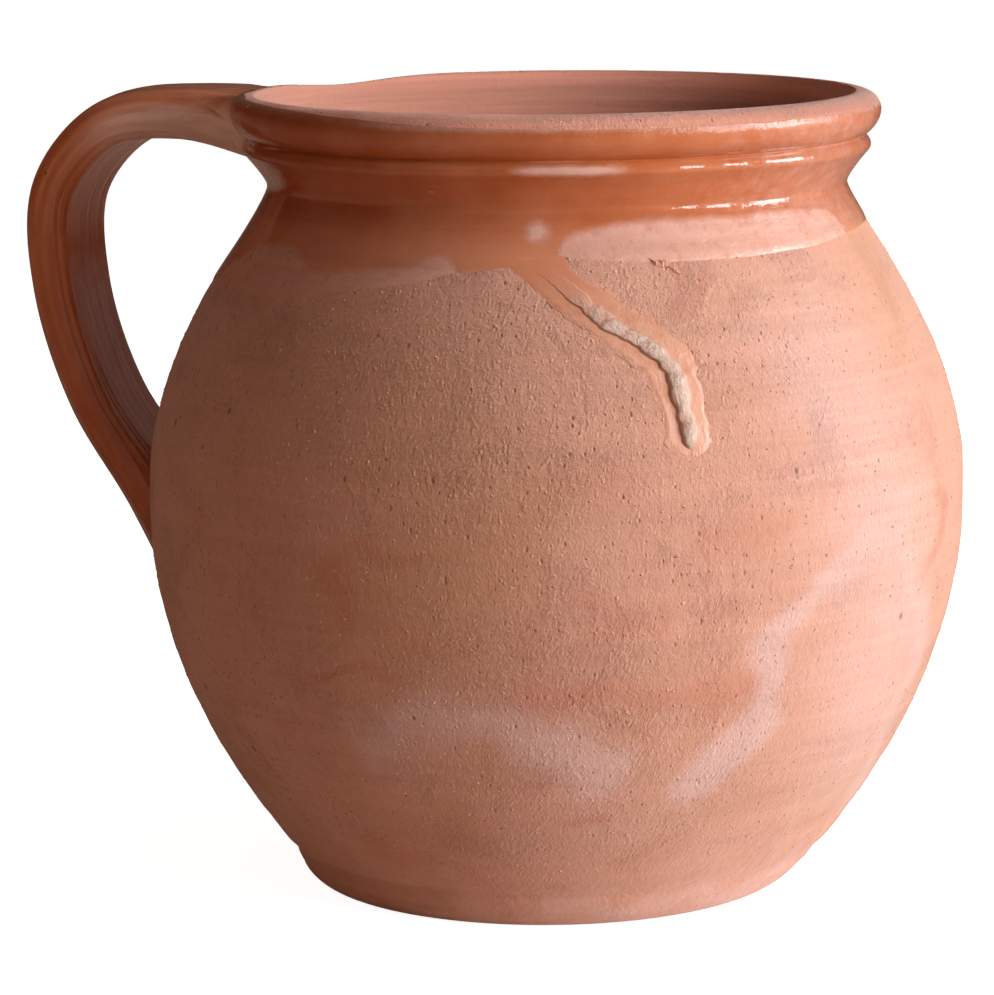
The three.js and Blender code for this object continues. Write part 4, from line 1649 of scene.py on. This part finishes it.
@dataclass
class GlazeRun:
    """The run of glaze down the belly: a milky bead in a clear film, wandering and ending in a drop.

    Four lines bound it from left to right, each given from the collar down as turns in degrees and heights.
    """

    body: ThrownBody
    film_left: Line = (
        (-82, 169), (-80, 165.5), (-77.8, 162.8), (-74, 159.4), (-70.2, 155.2), (-66, 151), (-59.1, 142.8),
        (-56.7, 138.5), (-55.4, 132.8), (-55.1, 127), (-54.5, 123.9), (-53.2, 122), (-51.7, 121.4),
    )
    bead_left: Line = (
        (-75.8, 169.5), (-73.6, 163.6), (-70.8, 160.2), (-68.4, 157.2), (-66.2, 154.2), (-62.4, 149.7),
        (-57.7, 145.8),
        (-54.4, 139.8), (-53.9, 134.5), (-53.2, 127.9), (-52.6, 124.6), (-51.7, 123.6),
    )
    bead_right: Line = (
        (-74, 170), (-71.4, 165.2), (-68.4, 162.3), (-65.3, 159), (-62.3, 155.6), (-59.6, 152.4),
        (-56.9, 150.2),
        (-53.4, 146.2), (-51.1, 141.5), (-50.7, 134.7), (-50.3, 127.7), (-50.7, 124.8), (-51.7, 123.6),
    )
    film_right: Line = (
        (-69.5, 170.5), (-66.5, 164.5), (-61.6, 158.6), (-57.2, 154.4), (-52.3, 149.8), (-49.6, 145.6),
        (-48.9, 139.2),
        (-48.5, 132.2), (-48.5, 127), (-48.9, 123.9), (-50.2, 122), (-51.7, 121.4),
    )
    film: float = 0.16 * MM
    lip: float = 0.05 * MM
    bead: Pair = (0.3 * MM, 1.25 * MM)
    bead_wobble: float = 0.36 * MM
    bead_ripple: float = 0.62 * MM
    bead_share: float = 0.8
    wobble_laps: float = 6
    ripple_laps: float = 36
    calm_from: float = 0.93
    lumps: Pair = (0.16, 0.2)
    bead_swells: Pair = (0.15, 0.9)
    bead_starts: Pair = (0.08, 0.34)
    bead_end: float = 0.05
    film_end: float = 0.03
    film_rises: float = 0.4
    film_starts: float = 0.1
    lip_place: Pair = (0.3, 0.16)
    lip_from: Pair = (0.4, 0.7)
    twin_lines: Pair = (0.55, 0.3)
    twin_end: Pair = (0.15, 0.45)
    twin_high: float = 1.6
    settled: float = 0.03 * MM
    early_end: Pair = (0.14, 0.5)
    early_milk: Pair = (0.4, 0.25)
    early_most: float = 0.6
    late_milk: Pair = (0.1, 0.8)
    flow_from: Pair = (0.08, 0.45)
    sunk: float = 0.3 * MM
    rows: int = 150
    film_columns: int = 14
    bead_columns: int = 26

    def lines(self) -> list[Array]:
        """The four lines from left to right, as rows of distance round the belly and height."""
        girth = self.body.belly[0]
        lines = []
        for points in (self.film_left, self.bead_left, self.bead_right, self.film_right):
            flat = np.array([(math.radians(turn) * girth, height * MM) for turn, height in points])
            lines.append(smooth_path(flat, self.rows))
        gone = np.linspace(0, 1, self.rows)
        middle = (lines[1] + lines[2]) / 2
        for number, seed, keep, waves in (
            (0, 53, 1.0, 11), (1, 51, self.bead_share, 26), (2, 52, self.bead_share, 26), (3, 54, 1.0, 11),
        ):
            ragged = self.bead_wobble * wander(gone * self.wobble_laps, seed, waves)
            ragged = ragged + self.bead_ripple * wander(gone * self.ripple_laps, seed + 20, waves=4)
            ragged = ragged * (1 - eased(self.calm_from, 1.0, gone))
            lines[number] = middle + (lines[number] - middle) * keep
            lines[number][:, 0] += ragged
        return lines

    def dress(self, glaze: MilkyGlaze, hand: PottersHand) -> None:
        """Makes the run as one closed piece on the wall.

        Args:
            glaze: The milky glaze.
            hand: How far the pot strays from true.
        """
        gone = np.linspace(0, 1, self.rows)[:, None]
        film_left, bead_left, bead_right, film_right = self.lines()
        across = np.linspace(0, 1, self.film_columns, endpoint=False)
        inner = np.linspace(0, 1, self.bead_columns)
        bands = (
            (film_left, bead_left, across),
            (bead_left, bead_right, inner),
            (bead_right, film_right, 1 - across[::-1]),
        )
        flat = np.concatenate([
            start[:, None] + (end - start)[:, None] * share[None, :, None] for start, end, share in bands
        ], axis=1)
        side = np.concatenate([across, np.ones(self.bead_columns), across[::-1]])
        none = np.zeros(self.film_columns)
        dome = np.concatenate([none, np.sqrt(1 - (2 * inner - 1) ** 2), none])
        low, high = self.bead
        broad, fine = self.lumps
        beads = 1 + broad * wander(gone * 9, seed=34, waves=18) + fine * wander(gone * 40, seed=35, waves=4)
        tall = (low + (high - low) * eased(*self.bead_swells, gone)) * beads
        tall = tall * np.sqrt(np.clip((1 - gone) / self.bead_end, 0, 1))
        cover = eased(0.0, self.film_rises, side) * np.sqrt(np.clip((1 - gone) / self.film_end, 0, 1))
        middle, wide = self.lip_place
        crest = hump(side - middle, wide) * eased(*self.lip_from, gone)
        middle, wide = self.twin_lines
        shoulder = hump(dome - middle, wide) * (dome > 0) * (1 - eased(*self.twin_end, gone))
        grown = eased(*self.bead_starts, gone)
        ridged = self.lip * (crest * cover + self.twin_high * shoulder) + tall * dome
        out = self.film * cover * eased(0.0, self.film_starts, gone) + grown * ridged - self.settled
        early = 1 - eased(*self.early_end, gone)
        middle, wide = self.early_milk
        sides = self.early_most * hump(dome - middle, wide) * (dome > 0)
        milk = (early * sides + (1 - early) * eased(*self.late_milk, dome)) * grown
        flow = eased(*self.flow_from, gone) * np.ones_like(milk)
        turn, height = flat[..., 0] / self.body.belly[0], flat[..., 1]
        upper = self.body.over(turn, height, out)
        lower = self.body.over(turn, height, np.full_like(out, -self.sunk))
        rings = np.concatenate([upper, lower[:, ::-1]], axis=1)
        piece = skin("milky_run", rings, marks={
            name: np.concatenate([mark, mark[:, ::-1]], axis=1)
            for name, mark in (("milk", milk), ("flow", flow))
        })
        hand.press(piece)
        hand_in(piece, glaze.material(), "glaze_run")


@dataclass
class Studio:
    """A pale floor, a broad soft lamp and a window of three panes on the right, a dim room and the camera."""

    camera_away: float = 1.0924
    camera_height: float = 0.2793
    camera_turn: float = math.radians(20.24)
    camera_yaw: float = -0.0138
    camera_pitch: float = 0.1656
    camera_roll: float = 0.0092
    lens_pixels: float = 4349.0
    image_long_side: float = 995.0
    sensor: float = 36.0
    key_power: float = 29.6
    key_size: Pair = (1.0, 0.72)
    key_place: tuple[float, float, float] = (1.26, -0.16, 0.4)
    key_colour: str = "#f0f9ff"
    panes: Line = ((-20.3, 0.14), (-3.2, 0.19), (20.0, 0.42))
    pane_height: float = 0.5
    pane_light: float = 50.0
    pane_away: float = 1.27
    pane_middle: float = 0.42
    fill_power: float = 1.2
    fill_size: float = 1.2
    fill_place: tuple[float, float, float] = (-0.6, -1.2, 0.7)
    fill_colour: str = "#ffc9a2"
    room_left: str = "#401f10"
    room_right: str = "#7b6c63"
    room_above: str = "#7b6d66"
    room_gloss: float = 0.15
    floor_colour: str = "#ececec"
    floor_bounce: str = "#d9bba8"
    floor_size: float = 40.0
    floor_glow: float = 0.93

    def lamp(
        self, name: str, place: tuple[float, float, float], power: float, size: Pair,
        colour: str, gloss: bool = True, matt: bool = True,
    ) -> None:
        """Hangs a soft lamp that faces the middle of the pot.

        Args:
            name: The lamp's name.
            place: Where it hangs.
            power: Its power in watts.
            size: Its width and height.
            colour: The colour of its light.
            gloss: Whether glossy surfaces show it.
            matt: Whether it lights matt surfaces.
        """
        data = bpy.data.lights.new(name, "AREA")
        data.shape = "RECTANGLE"
        data.size, data.size_y = size
        data.energy = power
        data.color = linear(colour)[:3]
        lamp = bpy.data.objects.new(name, data)
        lamp.location = place
        lamp.visible_glossy, lamp.visible_diffuse = gloss, matt
        lamp.rotation_euler = (Vector((0, 0, 0.1)) - Vector(place)).to_track_quat("-Z", "Y").to_euler()
        SCENE.collection.objects.link(lamp)

    def floor(self) -> None:
        """Lays the floor: white paper to the camera, with the pot's shadow, and warm in its bounce."""
        half = self.floor_size / 2
        mesh = bpy.data.meshes.new("floor")
        corners = [(-half, -half), (half, -half), (half, half), (-half, half)]
        mesh.from_pydata([(x, y, -0.3 * MM) for x, y in corners], [], [(0, 1, 2, 3)])
        floor = bpy.data.objects.new("floor", mesh)
        SCENE.collection.objects.link(floor)
        material = bpy.data.materials.new("matt_white_paper")
        material.use_nodes = True
        wire = Wiring(material.node_tree)
        shader = material.node_tree.nodes["Principled BSDF"]
        shader.inputs["Roughness"].default_value = 0.9
        shader.inputs["Emission Color"].default_value = (1, 1, 1, 1)
        seen = wire.add("ShaderNodeLightPath").outputs["Is Camera Ray"]
        colour = wire.blend(seen, self.floor_bounce, self.floor_colour)
        wire.tree.links.new(colour, shader.inputs["Base Color"])
        wire.tree.links.new(wire.times(seen, self.floor_glow), shader.inputs["Emission Strength"])
        mesh.materials.append(material)

    def room(self) -> None:
        """Makes the room: white to the camera, else dim and warm on the left, paler right and above.

        A gloss turned to the right shows the white too, as far as the window of the room would fill it.
        """
        world = bpy.data.worlds.new("studio_room")
        SCENE.world = world
        world.use_nodes = True
        world.node_tree.nodes.clear()
        wire = Wiring(world.node_tree)
        right, _, above = wire.axes(wire.add("ShaderNodeTexCoord").outputs["Generated"])
        share = wire.ramp(right, -0.9, 0.9, soft=True)
        walls = wire.blend(share, self.room_left, self.room_right)
        colour = wire.blend(wire.ramp(above, 0.2, 0.95, soft=True), walls, self.room_above)
        dim, white = (
            wire.add("ShaderNodeBackground", {"Color": light, "Strength": 1.0}).outputs["Background"]
            for light in (colour, (1, 1, 1, 1))
        )
        path = wire.add("ShaderNodeLightPath").outputs
        seen = wire.maths("MAXIMUM", path["Is Camera Ray"], path["Is Transmission Ray"])
        seen = wire.maths("MAXIMUM", seen, wire.times(path["Is Glossy Ray"], share, self.room_gloss))
        mixed = wire.add("ShaderNodeMixShader", {0: seen, 1: dim, 2: white}).outputs["Shader"]
        wire.add("ShaderNodeOutputWorld", {"Surface": mixed})

    def camera(self) -> None:
        """Stands the camera where the photograph was taken from."""
        ahead = Vector((
            math.sin(self.camera_yaw) * math.cos(self.camera_pitch),
            math.cos(self.camera_yaw) * math.cos(self.camera_pitch),
            -math.sin(self.camera_pitch),
        ))
        ahead.rotate(Matrix.Rotation(self.camera_turn, 3, "Z"))
        right = ahead.cross(Vector((0, 0, 1))).normalized()
        right.rotate(Matrix.Rotation(self.camera_roll, 3, ahead))
        above = right.cross(ahead)
        data = bpy.data.cameras.new("camera")
        data.sensor_width = self.sensor
        data.lens = self.lens_pixels / self.image_long_side * self.sensor
        data.clip_start = 0.05
        camera = bpy.data.objects.new("camera", data)
        turned = Matrix((right, above, -ahead)).transposed().to_4x4()
        place = (
            self.camera_away * math.sin(self.camera_turn),
            -self.camera_away * math.cos(self.camera_turn),
            self.camera_height,
        )
        camera.matrix_world = Matrix.Translation(place) @ turned
        SCENE.collection.objects.link(camera)
        SCENE.camera = camera

    def set_up(self) -> None:
        """Builds the studio."""
        self.camera()
        self.floor()
        self.room()
        self.lamp("key", self.key_place, self.key_power, self.key_size, self.key_colour, gloss=False)
        fill_size = (self.fill_size, self.fill_size)
        self.lamp("fill", self.fill_place, self.fill_power, fill_size, self.fill_colour)
        for number, (turn, wide) in enumerate(self.panes):
            way = math.radians(turn)
            place = (self.pane_away * math.cos(way), self.pane_away * math.sin(way), self.pane_middle)
            power, size = self.pane_light * (wide * self.pane_height), (wide, self.pane_height)
            self.lamp(f"pane_{number}", place, power, size, self.key_colour, matt=False)
        SCENE.view_settings.view_transform = "Standard"


def main() -> None:
    """Builds the pot piece by piece."""
    logging.basicConfig(level=logging.INFO, format="%(name)s %(message)s")
    Studio().set_up()
    hand = PottersHand()
    bare = FiredEarthenware().material()
    body = ThrownBody()
    body.dress(bare, HoneyGlaze("honey_glaze_lining").material(), hand)
    honey = HoneyGlaze("honey_glaze_dipped").material()
    # The strap's darker pooled colour towards the tail stands for painted shade.
    strap_glaze = HoneyGlaze(
        "honey_glaze_on_strap", coat="#d9845a", pooled_and_painted_shade="#a85426", veil_and_painted_light="#f0cdbd", roughness=0.12,
        ripple_size=1.8 * MM, ripple=0.42, streaks=True,
    ).material()
    body.drag(bare, hand)
    handle = StrapHandle(body)
    handle.dress(bare, strap_glaze, hand)
    CollarGlaze(body).dress(honey, hand)
    root = Luting(
        handle, End.ROOT, "upper_luting", margin=3.2 * MM, reach=6 * MM, off_wall=0.42 * MM,
        over_strap=0.52 * MM, seed=41, under=1.9, under_reach=1.1,
    )
    root.dress(strap_glaze, hand)
    tail = Luting(
        handle, End.TAIL, "lower_luting", margin=4.5 * MM, reach=8 * MM, off_wall=-0.1 * MM,
        over_strap=0.52 * MM, seed=43,
    )
    tail.dress(honey, hand)
    GlazeRun(body).dress(MilkyGlaze(), hand)


if __name__ == "__main__":
    main()
